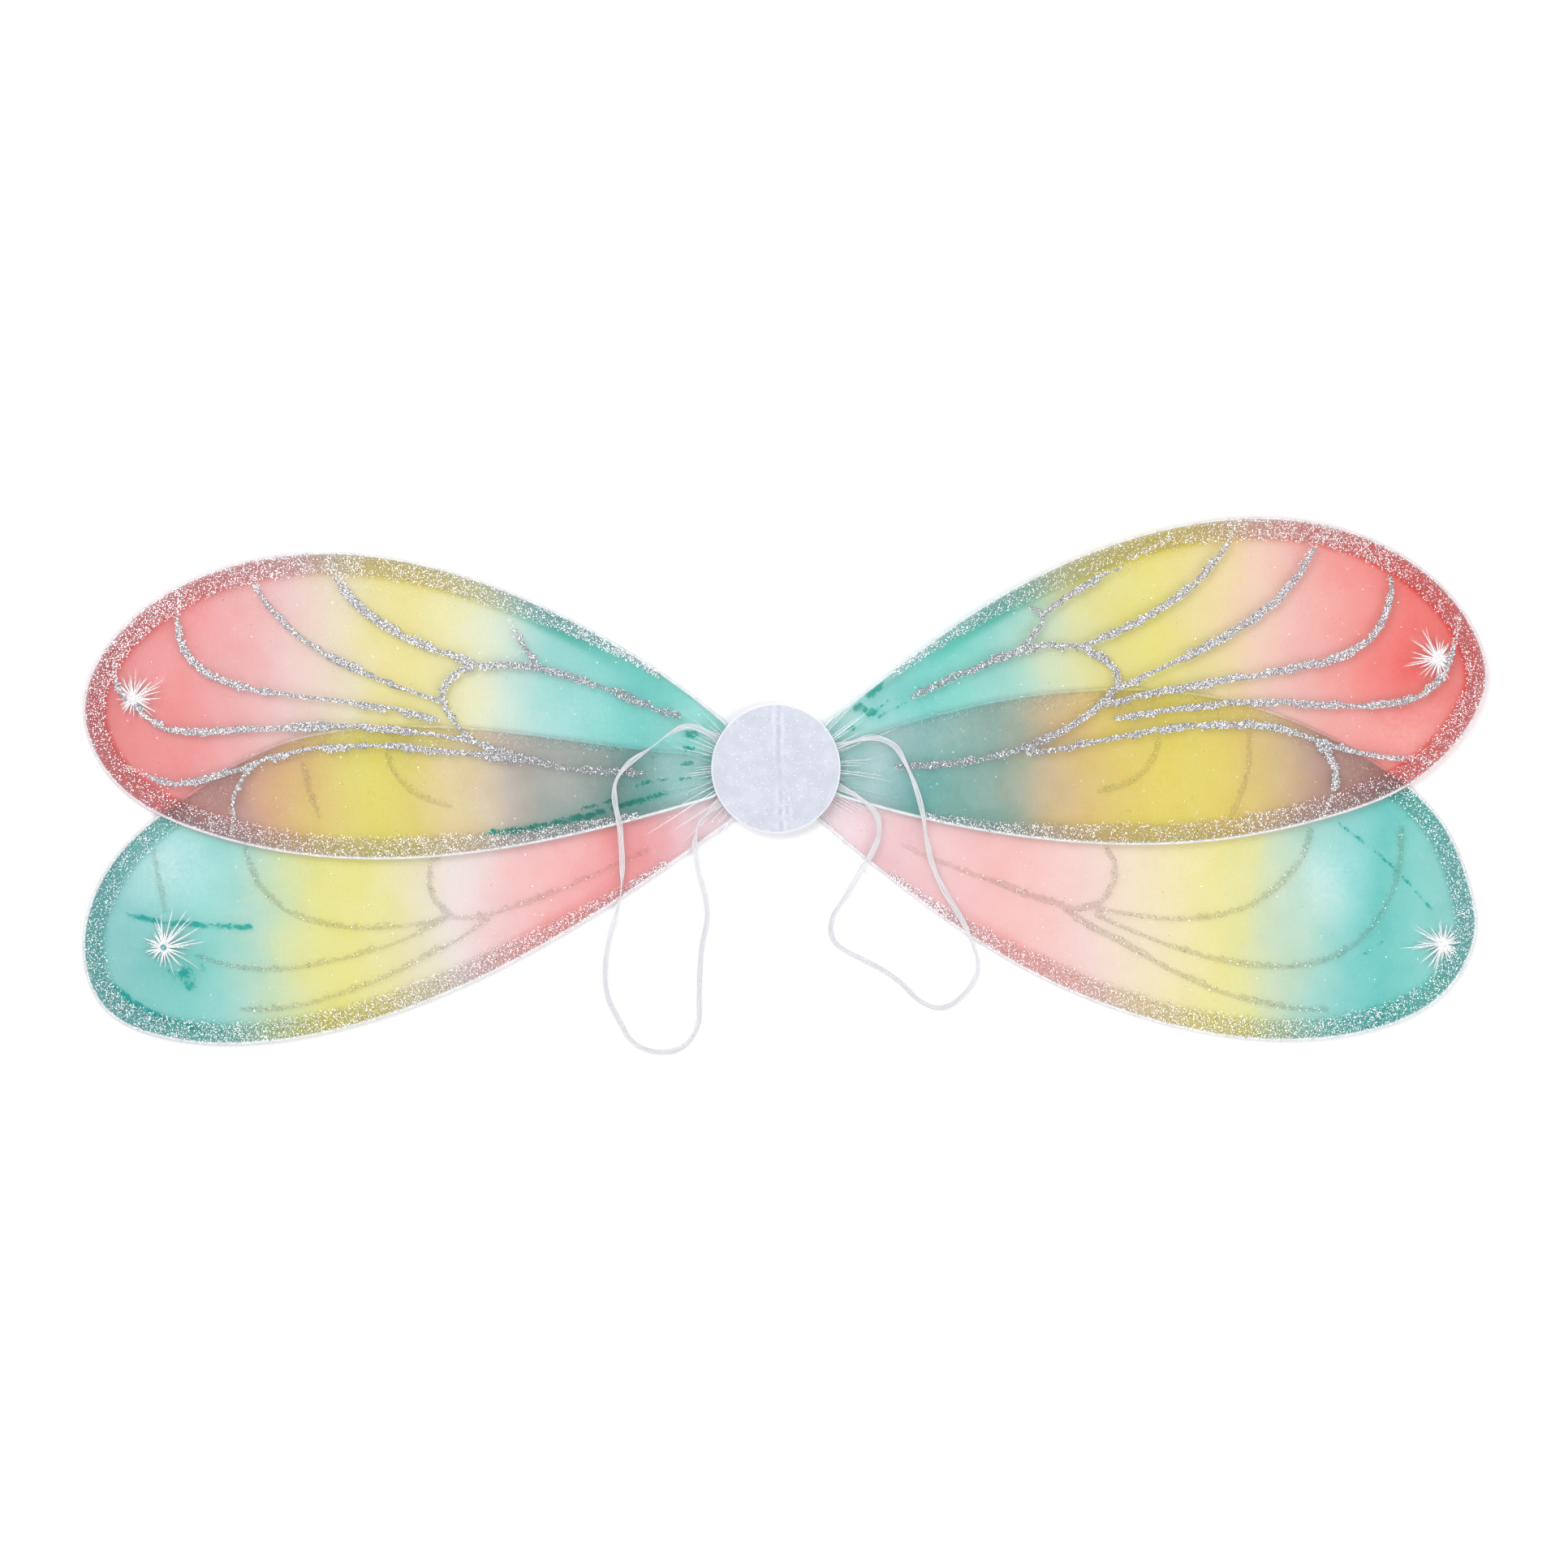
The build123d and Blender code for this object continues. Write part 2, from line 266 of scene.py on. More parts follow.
def make_stage():
    half = FLOOR_HALF
    corners = [(-half, -half, 0), (half, -half, 0), (half, half, 0), (-half, half, 0)]
    floor = build("floor", corners, [(0, 1, 2, 3)], smooth=False)
    g = Graph("floor_white")
    shader = g.node("BsdfDiffuse", {"Color": (0.93, 0.93, 0.93, 1), "Roughness": 0.0})
    floor.data.materials.append(g.done(shader.outputs[0]))

    world = bpy.data.worlds.new("studio")
    SCENE.world = world
    world.use_nodes = True
    world.node_tree.nodes["Background"].inputs["Color"].default_value = (0.985, 0.99, 1, 1)
    world.node_tree.nodes["Background"].inputs["Strength"].default_value = 0.68
    for name, place, size, power in (("key", (-0.7, 0.8, 2.0), 1.2, 24.0),
                                     ("fill", (0.9, -0.7, 2.1), 1.6, 21.0)):
        data = bpy.data.lights.new(name, "AREA")
        data.size, data.energy = size, power
        lamp = bpy.data.objects.new(name, data)
        lamp.location = place
        lamp.rotation_mode = "QUATERNION"
        lamp.rotation_quaternion = (Vector((0, 0, 0)) - Vector(place)).to_track_quat("-Z", "Y")
        SCENE.collection.objects.link(lamp)
    SCENE.view_settings.view_transform = "Standard"
    # the light passes many thin layers of nylon and glue, down to the floor and back
    SCENE.cycles.transparent_max_bounces = 40
    SCENE.cycles.max_bounces = 16
    SCENE.cycles.diffuse_bounces = 7


make_stage()

# ---- straps -------------------------------------------------------------------------
# The same points as the tubes of the CAD model, in metres, as control points of one spline.
LEFT_ROUTE = [
    (-.026, .013, .0087), (-.039, .021, .0087), (-.0535, .027, .0087), (-.066, .020, .0087),
    (-.077, .011, .0087), (-.088, .0045, .0087), (-.0975, -.007, .0087), (-.0975, -.020, .0087),
    (-.094, -.034, .0087), (-.093, -.050, .0074), (-.0925, -.067, .0063), (-.095, -.084, .0062),
    (-.100, -.099, .0030), (-.1035, -.118, .0013), (-.103, -.137, .00125),
    (-.095, -.152, .00125), (-.0875, -.166, .00125), (-.073, -.1725, .00125),
    (-.056, -.170, .00125), (-.046, -.156, .00125), (-.0465, -.138, .00125),
    (-.046, -.120, .00125), (-.0445, -.105, .00125), (-.041, -.091, .0013),
    (-.0425, -.077, .0022), (-.0475, -.061, .0054), (-.0495, -.046, .0069),
    (-.047, -.033, .0080), (-.037, -.022, .0087), (-.026, -.015, .0087),
]
RIGHT_ROUTE = [
    (.026, .011, .0087), (.041, .0145, .0087), (.058, .020, .0087), (.072, .015, .0087),
    (.0795, .001, .0087), (.085, -.0125, .0087), (.089, -.0275, .0087), (.091, -.044, .0082),
    (.095, -.061, .0066), (.103, -.0765, .0063), (.112, -.090, .0063), (.1185, -.1045, .0064),
    (.1235, -.120, .0046), (.1175, -.134, .0013), (.103, -.146, .00125), (.088, -.1425, .00125),
    (.0745, -.128, .00125), (.061, -.1195, .00125), (.045, -.112, .00125), (.033, -.104, .00125),
    (.0335, -.089, .00125), (.043, -.077, .0018), (.0495, -.064, .0044), (.0575, -.0525, .0064),
    (.063, -.040, .0074), (.0615, -.027, .0084), (.051, -.0175, .0087), (.0385, -.011, .0087),
    (.0265, -.006, .0087),
]
STRANDS = 5
STRAND_R = 0.28
STRAND_PITCH = 0.72       # the strands lie side by side as a narrow ribbon
FAN_L = 21.0              # the strands spread out over this length at each end
FAN_PITCH = 1.35
FLOOR_CLEAR = 0.12
TURNS = {"left": 2.1, "right": 5.3}   # seeds of the slow twist


def elastic_material():
    g = Graph("strap_elastic")
    along, strand = g.attribute("along"), g.attribute("strand")
    shine = g.noise(g.place(), 1.1, 4.0, 0.7)
    wind = g.math("SINE", g.math("MULTIPLY_ADD", along, 2 * pi / 0.55,
                                 g.math("MULTIPLY", strand, 2.0)))
    pale = g.mix(g.remap(shine, 0.32, 0.68), linear("#ececf0"), linear("#ffffff"))
    # painted shade in the grooves between the windings, darkest where the bump is lowest
    colour = g.mix(g.remap(wind, -1.0, 0.4), linear("#cfd0d6"), pale)
    bump = g.bump(wind, 0.55, 0.12)
    shader = g.node("BsdfPrincipled", {"Base Color": colour, "Roughness": 0.38, "Metallic": 0.15,
                                       "Normal": bump, "Sheen Weight": 0.3,
                                       "Specular IOR Level": 0.6})
    return g.done(shader.outputs[0])


def spline_path(name, route):
    """Points along the smooth line that has the route's points as its control points."""
    curve = bpy.data.curves.new(name, "CURVE")
    curve.dimensions = "3D"
    curve.resolution_u = 14
    spline = curve.splines.new("NURBS")
    spline.points.add(len(route) - 1)
    for point, place in zip(spline.points, route):
        point.co = (*place, 1)
    spline.order_u = 3
    spline.use_endpoint_u = True
    holder = bpy.data.objects.new(name, curve)
    SCENE.collection.objects.link(holder)
    mesh = bpy.data.meshes.new_from_object(holder)
    path = [tuple(v.co) for v in mesh.vertices]
    bpy.data.objects.remove(holder)
    return path


def make_strap(side, route, material):
    """Five wound rubber strands side by side, which twist slowly and fan out at both ends."""
    path_m = spline_path(f"{side}_strap_route", route)
    path = np.array(path_m) / MM
    steps = distance_along(path)
    total = steps[-1]
    tangents = directions(path)
    level = np.cross(tangents, (0, 0, 1))
    level /= np.linalg.norm(level, axis=1)[:, None]
    lift = np.cross(level, tangents)
    seed = TURNS[side]
    from_end = np.minimum(steps, total - steps)
    free = smoothstep(from_end, 4, 30)
    roll = np.array([noise_at(s / 34.0, seed, 0) for s in steps]) * 3.4 * free
    loose = 1 - smoothstep(path[:, 2], 1.5, 5.0)
    roll *= 1 - 0.55 * loose
    across = level * np.cos(roll)[:, None] + lift * np.sin(roll)[:, None]
    fan = 1 - smoothstep(from_end, 3, FAN_L)
    pitch = STRAND_PITCH + (FAN_PITCH - STRAND_PITCH) * fan
    lines = []
    for k in range(STRANDS):
        place = k - (STRANDS - 1) / 2
        stray = np.array([noise_at(s / 9.0, seed, 3.1 * k + 1) for s in steps])
        bow = np.array([noise_at(s / 17.0, seed, 7.7 * k + 2) for s in steps])
        line = path + across * (place * pitch + 0.22 * stray * (1 + fan))[:, None]
        line = line + lift * ((0.12 + 0.55 * fan) * bow)[:, None]
        lines.append(line)
    lowest = np.min([line[:, 2] for line in lines], axis=0) - STRAND_R
    raise_by = np.maximum(0, FLOOR_CLEAR - lowest)
    for _ in range(6):
        raise_by = np.maximum(raise_by, np.convolve(np.pad(raise_by, 2, "edge"),
                                                    np.ones(5) / 5, "valid"))
    for line in lines:
        line[:, 2] += raise_by
    verts, faces, along = tubes(lines, STRAND_R)
    strand = np.repeat(np.arange(STRANDS), len(path) * 6)
    strap = build(f"{side}_strap_elastic", verts, faces,
                  attributes={"along": along, "strand": strand})
    place_piece(strap, material, f"{side}_half", f"{side}_strap")


elastic = elastic_material()
make_strap("left", LEFT_ROUTE, elastic)
make_strap("right", RIGHT_ROUTE, elastic)

# ---- the hub ------------------------------------------------------------------------
DISC_R = 39.0
DISC_SIDES = 240
BACK_DISC_Z = (0.0, 1.6)
FRONT_DISC_Z = (10.1, 12.1)
# the crease of the hub's fold line, top to bottom: x, y, depth
CREASES = [
    [(1.5, 39, .40), (1.8, 24, .50), (1.4, 10, .30), (2.4, -4, .26), (3.2, -16, .42),
     (2.6, -28, .48), (3.8, -39, .45)],
    [(4.4, -9, .12), (6.4, -20, .34), (6.8, -30, .38), (8.2, -38, .30)],
    [(-3.6, 38.6, .24), (-4.4, 30, .22), (-3.4, 23, .08)],
]


def crease_depth(x, y):
    """How deep the fold marks are at a point of the front disc, with a raised lip beside."""
    depth = 0.0
    for line in CREASES:
        for (x0, y0, d0), (x1, y1, d1) in zip(line, line[1:]):
            if min(y0, y1) <= y <= max(y0, y1):
                t = (y - y0) / (y1 - y0)
                away = x - (x0 + (x1 - x0) * t)
                size = d0 + (d1 - d0) * t
                away += 0.7 * noise_at(y / 5, x0, 4)
                size *= 0.8 + 0.9 * noise_at(y / 3.5, x0, 8)
                depth += size * (np.exp(-(away / 1.05) ** 2)
                                 - 0.42 * np.exp(-((away - 2.3) / 1.2) ** 2)
                                 - 0.30 * np.exp(-((away + 2.3) / 1.2) ** 2))
    return depth


def felt_material():
    g = Graph("hub_felt")
    where = g.place()
    cloud = g.noise(where, 9.0, 3.0)
    fibre = g.noise(where, 0.45, 5.0, 0.75)
    colour = g.mix(g.remap(cloud, 0.3, 0.7), linear("#c4c7d2"), linear("#cdd0da"))
    colour = g.mix(g.remap(fibre, 0.30, 0.60, 0.38, 0.0), colour, linear("#a3a8b8"))
    crease = g.attribute("crease")
    # painted shade in the fold crease, and painted light on the raised lips beside it
    colour = g.mix(g.remap(crease, 0.02, 0.42, 0.0, 0.34), colour, linear("#a3a8b8"))
    colour = g.mix(g.remap(crease, -0.16, -0.02, 0.4, 0.0), colour, linear("#dcdee6"))
    # a painted highlight along the rim
    colour = g.mix(g.math("MULTIPLY", g.attribute("edge"), 0.75), colour, linear("#f1f2f6"))
    cell = g.node("TexVoronoi", {"Vector": where, "Scale": 1 / (1.3 * MM)})
    chance = g.node("SeparateColor", {0: cell.outputs["Color"]})
    spot = g.math("LESS_THAN", cell.outputs["Distance"], 0.20)
    bright = g.math("MULTIPLY", spot, g.math("GREATER_THAN", chance.outputs[0], 0.70))
    dark = g.math("MULTIPLY", spot, g.math("LESS_THAN", chance.outputs[0], 0.035))
    colour = g.mix(bright, colour, (1.0, 1.0, 1.0, 1))
    colour = g.mix(g.math("MULTIPLY", dark, 0.75), colour, linear("#83838f"))
    height = g.math("MULTIPLY_ADD", fibre, 1.0, g.math("MULTIPLY", cloud, 0.8))
    shader = g.node("BsdfPrincipled", {"Base Color": colour, "Roughness": 0.92,
                                       "Sheen Weight": 0.2, "Sheen Roughness": 0.5,
                                       "Specular IOR Level": 0.15,
                                       "Normal": g.bump(height, 0.5, 0.35)})
    return g.done(shader.outputs[0])


def make_disc(name, low, high, face, droop):
    """A soft felt disc. face is +1 where the side that shows is up; droop is its rims' sag."""
    radii = np.r_[np.linspace(0.8, 36.8, 52), 37.5, 38.1, 38.5, 38.75, 38.92, DISC_R]
    angles = np.arange(DISC_SIDES) * 2 * pi / DISC_SIDES
    middle, half = (low + high) / 2, (high - low) / 2
    show, back, dents, edges = [], [], [], []
    for r in radii:
        rim = np.clip((r - (DISC_R - half)) / half, 0, 1)
        thick = half * np.sqrt(1 - 0.94 * rim ** 2)
        for a in angles:
            edge = r * (1 + 0.004 * noise_at(cos(a) * 2, sin(a) * 2, low))
            x, y = edge * cos(a), edge * sin(a)
            soft = noise_at(x / 11, y / 11, low + 5)
            fuzz = noise_at(x / 2.6, y / 2.6, low + 9)
            sag = droop * smoothstep(r, 20, DISC_R) * abs(sin(a)) ** 1.5
            # the crease's depth dents the felt and also sets its painted shade and the painted
            # light on its lips
            dent = crease_depth(x, y) if face > 0 and r < DISC_R - 0.5 else 0.0
            dents.append(dent)
            # how far into the painted highlight along the rim each point lies
            edges.append(float(smoothstep(r, 37.9, 38.7)))
            flat = 0.10 * soft + 0.045 * fuzz - 0.12
            show.append((x, y, middle + thick * face + face * min(0, flat - max(dent, -0.10))
                         - sag))
            back.append((x, y, middle - thick * face - sag))
    n, s = len(radii), DISC_SIDES
    verts = show + back + [(0, 0, middle + (half - 0.15) * face), (0, 0, middle - half * face)]
    up = face > 0
    faces = grid_faces(n, s, close=True, flip=up) + grid_faces(n, s, close=True, start=n * s,
                                                               flip=not up)
    top_mid, low_mid = 2 * n * s, 2 * n * s + 1
    outer, lower = (n - 1) * s, n * s + (n - 1) * s
    for i in range(s):
        j = (i + 1) % s
        fan_top, fan_low = (top_mid, i, j), (low_mid, n * s + j, n * s + i)
        wall = (outer + i, lower + i, lower + j, outer + j)
        for f in (fan_top, fan_low, wall):
            faces.append(f if up else f[::-1])
    shown = np.r_[dents, np.zeros(n * s + 2)], np.r_[edges, np.zeros(n * s + 2)]
    return build(name, verts, faces, attributes={"crease": shown[0], "edge": shown[1]})


felt = felt_material()
front = make_disc("front_felt_disc", *FRONT_DISC_Z, 1, 0.9)
place_piece(front, felt, node="front_disc")
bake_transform(front)
rear = make_disc("back_felt_disc", *BACK_DISC_Z, -1, 0.0)
place_piece(rear, felt, node="back_disc")
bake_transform(rear)

GLUE_R = 15.0
GLUE_Z = (7.7, 10.1)


def glue_material():
    g = Graph("hot_glue")
    where = g.place()
    cloud = g.noise(where, 4.0, 2.0)
    colour = g.mix(cloud, linear("#e8e2cf"), linear("#f6f3ea"))
    shader = g.node("BsdfPrincipled", {"Base Color": colour, "Roughness": 0.22,
                                       "Transmission Weight": 0.35, "IOR": 1.48,
                                       "Normal": g.bump(g.noise(where, 1.8, 2.0), 0.3, 0.3)})
    return g.done(shader.outputs[0])


def make_glue():
    """The blob of hot glue between the taped roots and the front disc."""
    rows, sides = 13, 72
    verts = []
    for i in range(rows):
        t = i / (rows - 1)
        level = GLUE_Z[0] + (GLUE_Z[1] - GLUE_Z[0]) * t
        swell = 1 - 0.10 * (2 * t - 1) ** 4
        for k in range(sides):
            a = 2 * pi * k / sides
            lobe = noise_at(1.4 * cos(a), 1.4 * sin(a), 3 + t * 0.7)
            r = GLUE_R * swell * (0.97 + 0.055 * lobe)
            verts.append((r * cos(a), r * sin(a), level))
    faces = grid_faces(rows, sides, close=True)
    verts += [(0, 0, GLUE_Z[0]), (0, 0, GLUE_Z[1])]
    last = (rows - 1) * sides
    for k in range(sides):
        j = (k + 1) % sides
        faces.append((len(verts) - 2, j, k))
        faces.append((len(verts) - 1, last + k, last + j))
    return build("hot_glue_pad", verts, faces)


glue = make_glue()
place_piece(glue, glue_material(), node="glue_pad")
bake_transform(glue)

TAPE_HALF_L = 10.0
TAPE_Y = (-8.6, 5.6)
TAPE_Z = (2.0, 7.3)
TAPE_T = 0.3
TAPE_THREAD = 0.55         # from one thread of the cloth to the next
TAPE_SQUARE = 0.32         # the lower, the squarer its section


def tape_material():
    g = Graph("hub_tape")
    where = g.place()
    split = g.node("SeparateXYZ", {0: where})
    warp = g.math("SINE", g.math("MULTIPLY", split.outputs[0], 2 * pi / (TAPE_THREAD * MM)))
    weft = g.math("SINE", g.math("MULTIPLY", g.math("ADD", split.outputs[1], split.outputs[2]),
                                 2 * pi / (TAPE_THREAD * MM)))
    weave = g.math("MULTIPLY", warp, weft)
    dirt = g.noise(where, 5.0, 4.0)
    colour = g.mix(g.remap(dirt, 0.3, 0.75), linear("#d9dade"), linear("#efeff2"))
    # painted shade in the dips of the weave, darkest where the bump is lowest
    colour = g.mix(g.remap(weave, -1.0, 1.0, 0.22, 0.0), colour, linear("#9fa1a8"))
    shader = g.node("BsdfPrincipled", {"Base Color": colour, "Roughness": 0.8,
                                       "Sheen Weight": 0.2,
                                       "Normal": g.bump(weave, 0.6, 0.12)})
    return g.done(shader.outputs[0])


def make_tape():
    """Cloth tape wound twice round the four roots, with its free edge stepping over itself."""
    columns, rows, wraps = 88, 41, 2
    y_mid, z_mid = sum(TAPE_Y) / 2, sum(TAPE_Z) / 2
    half_y, half_z = (TAPE_Y[1] - TAPE_Y[0]) / 2, (TAPE_Z[1] - TAPE_Z[0]) / 2
    outside, inside = [], []
    for r in range(rows):
        x = -TAPE_HALF_L + 2 * TAPE_HALF_L * r / (rows - 1)
        for c in range(columns):
            a = 2 * pi * c / columns
            sy = abs(cos(a)) ** TAPE_SQUARE * (1 if cos(a) >= 0 else -1)
            sz = abs(sin(a)) ** TAPE_SQUARE * (1 if sin(a) >= 0 else -1)
            edge = (x / 9.0 + a / (2 * pi) * wraps) % 1.0
            step = 0.14 * smoothstep(edge, 0.0, 0.06) * (1 - edge)
            crinkle = 0.05 * noise_at(x / 3, sy * 3, sz * 3)
            grow = TAPE_T * 0.55 + step + crinkle
            outside.append((x, y_mid + sy * (half_y + grow), z_mid + sz * (half_z + grow)))
            inside.append((x, y_mid + sy * half_y, z_mid + sz * half_z))
    n = rows * columns
    faces = grid_faces(rows, columns, close=True, flip=True)
    faces += grid_faces(rows, columns, close=True, start=n)
    for first, out in ((0, True), ((rows - 1) * columns, False)):
        for c in range(columns):
            d = (c + 1) % columns
            quad = (first + c, first + d, n + first + d, n + first + c)
            faces.append(quad if out else quad[::-1])
    return build("hub_tape_wrap", outside + inside, faces)


tape = make_tape()
place_piece(tape, tape_material(), node="hub_tape")
# between the inner ends of the wires, so they stay inside it when the hub folds
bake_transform(tape)


def thread_material(name="thread", dark="#d5d6da", light="#f7f7f8"):
    g = Graph(name)
    along = g.attribute("along")
    twist = g.math("SINE", g.math("MULTIPLY", along, 2 * pi / 0.8))
    fluff = g.noise(g.place(), 0.8, 4.0)
    colour = g.mix(g.remap(fluff, 0.3, 0.7), linear(dark), linear(light))
    # painted shade in the grooves of the twist, darkest where the bump is lowest
    colour = g.mix(g.remap(twist, -1.0, 0.2, 0.35, 0.0), colour, linear("#9b9ca3"))
    shader = g.node("BsdfPrincipled", {"Base Color": colour, "Roughness": 0.75,
                                       "Sheen Weight": 0.3, "Normal": g.bump(twist, 0.4, 0.1)})
    return g.done(shader.outputs[0])


thread = thread_material()
TAB_L = 5.0
STITCHES = 4


def make_strap_tab(side, which, route, order):
    """The sewn-down end of a strap: five strand stubs held by bar stitches."""
    end, after = (Vector(route[i]) / MM for i in order)
    out = (after - end).normalized()
    across = Vector((-out.y, out.x, 0))
    lines = []
    for k in range(STRANDS):
        shift = across * ((k - (STRANDS - 1) / 2) * 0.92)
        lines.append([end + shift - out * TAB_L * t for t in np.linspace(0, 1, 7)])
    for s in range(STITCHES):
        middle = end - out * (0.8 + s * 1.1)
        skew = out * (0.5 if s % 2 else -0.5)
        bar = []
        for t in np.linspace(0, 2 * pi, 17):
            bar.append(middle + across * 2.35 * cos(t) + skew * cos(t)
                       + Vector((0, 0, 0.62 * sin(t))))
        lines.append(bar)
    verts, faces, along = tubes(lines, 0.36, 6)
    tab = build(f"{side}_{which}_strap_tab", verts, faces, attributes={"along": along})
    place_piece(tab, thread, f"{side}_half", f"{side}_{which}_knot")


for side, route in (("left", LEFT_ROUTE), ("right", RIGHT_ROUTE)):
    make_strap_tab(side, "upper", route, (0, 1))
    make_strap_tab(side, "lower", route, (-1, -2))

# ---- the wings ----------------------------------------------------------------------
WIRE_R = 0.9
SLEEVE_R = 1.05           # the nylon where it wraps the wire
SKIN_HALF = 0.5           # half the gap between the two skins, away from the wire
RIM_STEP = 2.0
GRID_STEP = 3.4
STAIN_STEP = 0.9
MEMBRANE_START = 16.0
KNOT_RINGS = (2.2, 2.8, 3.6, 4.6, 5.8, 7.2, 8.8, 10.6, 12.6, 14.8, 17.2, 19.8, 22.6, 25.6)
KNOT_SIDES = 120
ROOT_STEPS = (20, 23, 26, 29, 32, 35, 38, 41, 44, 47, 50, 54, 58, 62, 67, 72, 78, 85)
ROOT_SIDES = 84

# side, printed skin, centre of the gathers at the tip (x outwards) and where its longest
# folds point (degrees), middle of the root tie,
# seed, and the dye along x outwards, its colours read off the photograph: (mm from the hub's
# centre, colour)
WINGS = {
    "upper_left": dict(side=-1, printed=1, knot=(388, 42), aim=38, root=2.0, seed=3, dye=[
        (38, "#5fc0b4"), (70, "#79ccc2"), (92, "#74cbc2"), (118, "#93d5cd"), (140, "#abdcd6"),
        (160, "#cfe5da"), (176, "#e6e9cc"), (196, "#ece7b4"), (220, "#ece29f"), (240, "#ede3a6"),
        (258, "#ece3c4"), (274, "#ebdac8"), (292, "#edcfca"), (312, "#eebfbd"),
        (336, "#eeb0af"), (356, "#f0a4a2"), (380, "#ec9c9b"), (420, "#e79494")]),
    "upper_right": dict(side=1, printed=1, knot=(400, 66), aim=188, root=2.0, seed=8, dye=[
        (38, "#66c0b6"), (66, "#84cbc6"), (90, "#70ccc1"), (112, "#8ad7c9"), (132, "#9fd9d0"),
        (148, "#b9dece"), (162, "#d2e1c6"), (180, "#e2e2ae"), (205, "#e8e094"),
        (232, "#ebe28e"), (254, "#ecdfa3"), (270, "#f0dcab"), (288, "#f2d3c0"),
        (306, "#f3c9bd"), (322, "#f3bbb4"), (340, "#f4aba5"), (362, "#f4958f"),
        (384, "#f28a84"), (430, "#ef918c")]),
    "lower_left": dict(side=-1, printed=-1, knot=(370, -108), aim=28, root=-5.0, seed=14, dye=[
        (38, "#e4bcc3"), (70, "#e9a8ab"), (98, "#ee9f9e"), (118, "#f2b0af"), (136, "#f3bbb9"),
        (158, "#f2c6c4"), (178, "#efdad8"), (196, "#eee3de"), (214, "#e9e3c4"),
        (234, "#e9e4aa"), (256, "#e9e496"), (278, "#e6e39a"), (298, "#d5e1b4"),
        (316, "#bcdccb"), (334, "#9fd8cf"), (352, "#95d5ce"), (390, "#93cecb"), (422, "#97cecb")]),
    "lower_right": dict(side=1, printed=-1, knot=(403, -106), aim=170, root=-5.0, seed=21, dye=[
        (38, "#e6c3ca"), (70, "#ecc2c6"), (100, "#f2c8c9"), (135, "#f4c5c1"), (165, "#f5cdc8"),
        (190, "#f2d9d2"), (215, "#f2e2cb"), (240, "#f1e6b8"), (266, "#ede6a4"),
        (284, "#e6e5a9"), (298, "#d3e0bf"), (314, "#c2ddca"), (330, "#aadad0"), (348, "#8fd4cf"),
        (366, "#78cdc6"), (386, "#8fd5cd"), (424, "#9fd3cf")]),
}
# The colour of a lower wing where the upper one lies over it, found from the photograph's colour
# there and the upper wing's dye: its dye, made paler with painted light against the shade that the
# two layers cast
OVERLAP_DYE_LIT = {
    "lower_left": [
        (50, "#fdf6f6"), (72, "#f8ebee"), (100, "#fbd2d3"), (125, "#f8cdcb"), (150, "#efcac7"),
        (174, "#f3dcdc"), (194, "#feeae6"), (214, "#fff6da"), (228, "#fbfbba"),
        (243, "#f9fc99"), (263, "#fcf987"), (287, "#fee68a"), (307, "#fee1a2"),
        (321, "#eccfc2"), (346, "#e6cdc6"), (380, "#dcd4cc")],
    "lower_right": [
        (50, "#fff6f6"), (95, "#ffe6ea"), (120, "#e2d2d2"), (134, "#dcd2cf"), (149, "#e8ccba"),
        (169, "#fbd4af"), (188, "#ffe1aa"), (203, "#ffefc0"), (218, "#fff4cb"),
        (237, "#fffab8"), (257, "#fdffa5"), (276, "#faff98"), (296, "#f5ffa1"),
        (316, "#ebf7b7"), (335, "#dcebdc"), (355, "#d3d8d3"), (380, "#c4dad5")],
}
DYE_SPAN = 440.0

# Spots and runs where the dye pooled: corner points in mm, width either side, strength
STAINS = {
    "upper_left": [
        ([(-174, -39), (-150, -36.5), (-125, -31), (-104, -26)], 1.5, 0.75),
        ([(-98, -24), (-82, -19.5), (-67, -15)], 1.3, 0.7),
        ([(-117, -24), (-96, -19)], 0.9, 0.45), ([(-84, -10), (-66, -6)], 0.9, 0.4),
        ([(-55, 47), (-44, 39.5), (-33, 31)], 0.9, 0.8), ([(-53, 20), (-49, 21.5)], 2.0, 0.8),
        ([(-74, 8), (-70, 8.6)], 1.4, 0.45), ([(-55, 12), (-50, 12.5)], 1.1, 0.55),
        ([(-56, 3), (-51, 3)], 1.2, 0.5), ([(-57, -6.5), (-52, -6)], 1.0, 0.55),
    ],
    "upper_right": [
        ([(56, 44.5), (63, 51.5)], 1.8, 1.0), ([(64, 53), (82, 69.5), (101, 84)], 1.0, 0.8),
        ([(48.5, 36.5), (51, 38)], 1.5, 1.0), ([(52.5, 34.6), (54, 35.2)], 1.2, 0.95),
        ([(56, 32.7), (59, 34)], 1.5, 1.0), ([(44, 23.5), (46.5, 24.4)], 0.9, 0.9),
        ([(60, 34), (69, 43)], 0.8, 0.4), ([(62, 31), (78, 40)], 0.7, 0.3),
    ],
    "lower_left": [
        ([(-392, -88.5), (-370, -93), (-348, -94.6), (-317, -96)], 1.2, 0.7),
        ([(-400, -131), (-388, -142), (-370, -151), (-341, -159)], 1.3, 0.75),
        ([(-369.5, -107), (-371, -109.5)], 2.6, 1.0), ([(-357, -124), (-355, -129)], 3.2, 0.55),
        ([(-366, -124), (-361, -128)], 2.0, 0.35), ([(-348, -119), (-346, -121)], 1.6, 0.3),
    ],
    "lower_right": [
        ([(340, -33), (360, -48), (377, -63), (396, -85)], 0.7, 0.4),
        ([(356, -112), (366, -105)], 0.9, 0.25),
    ],
}
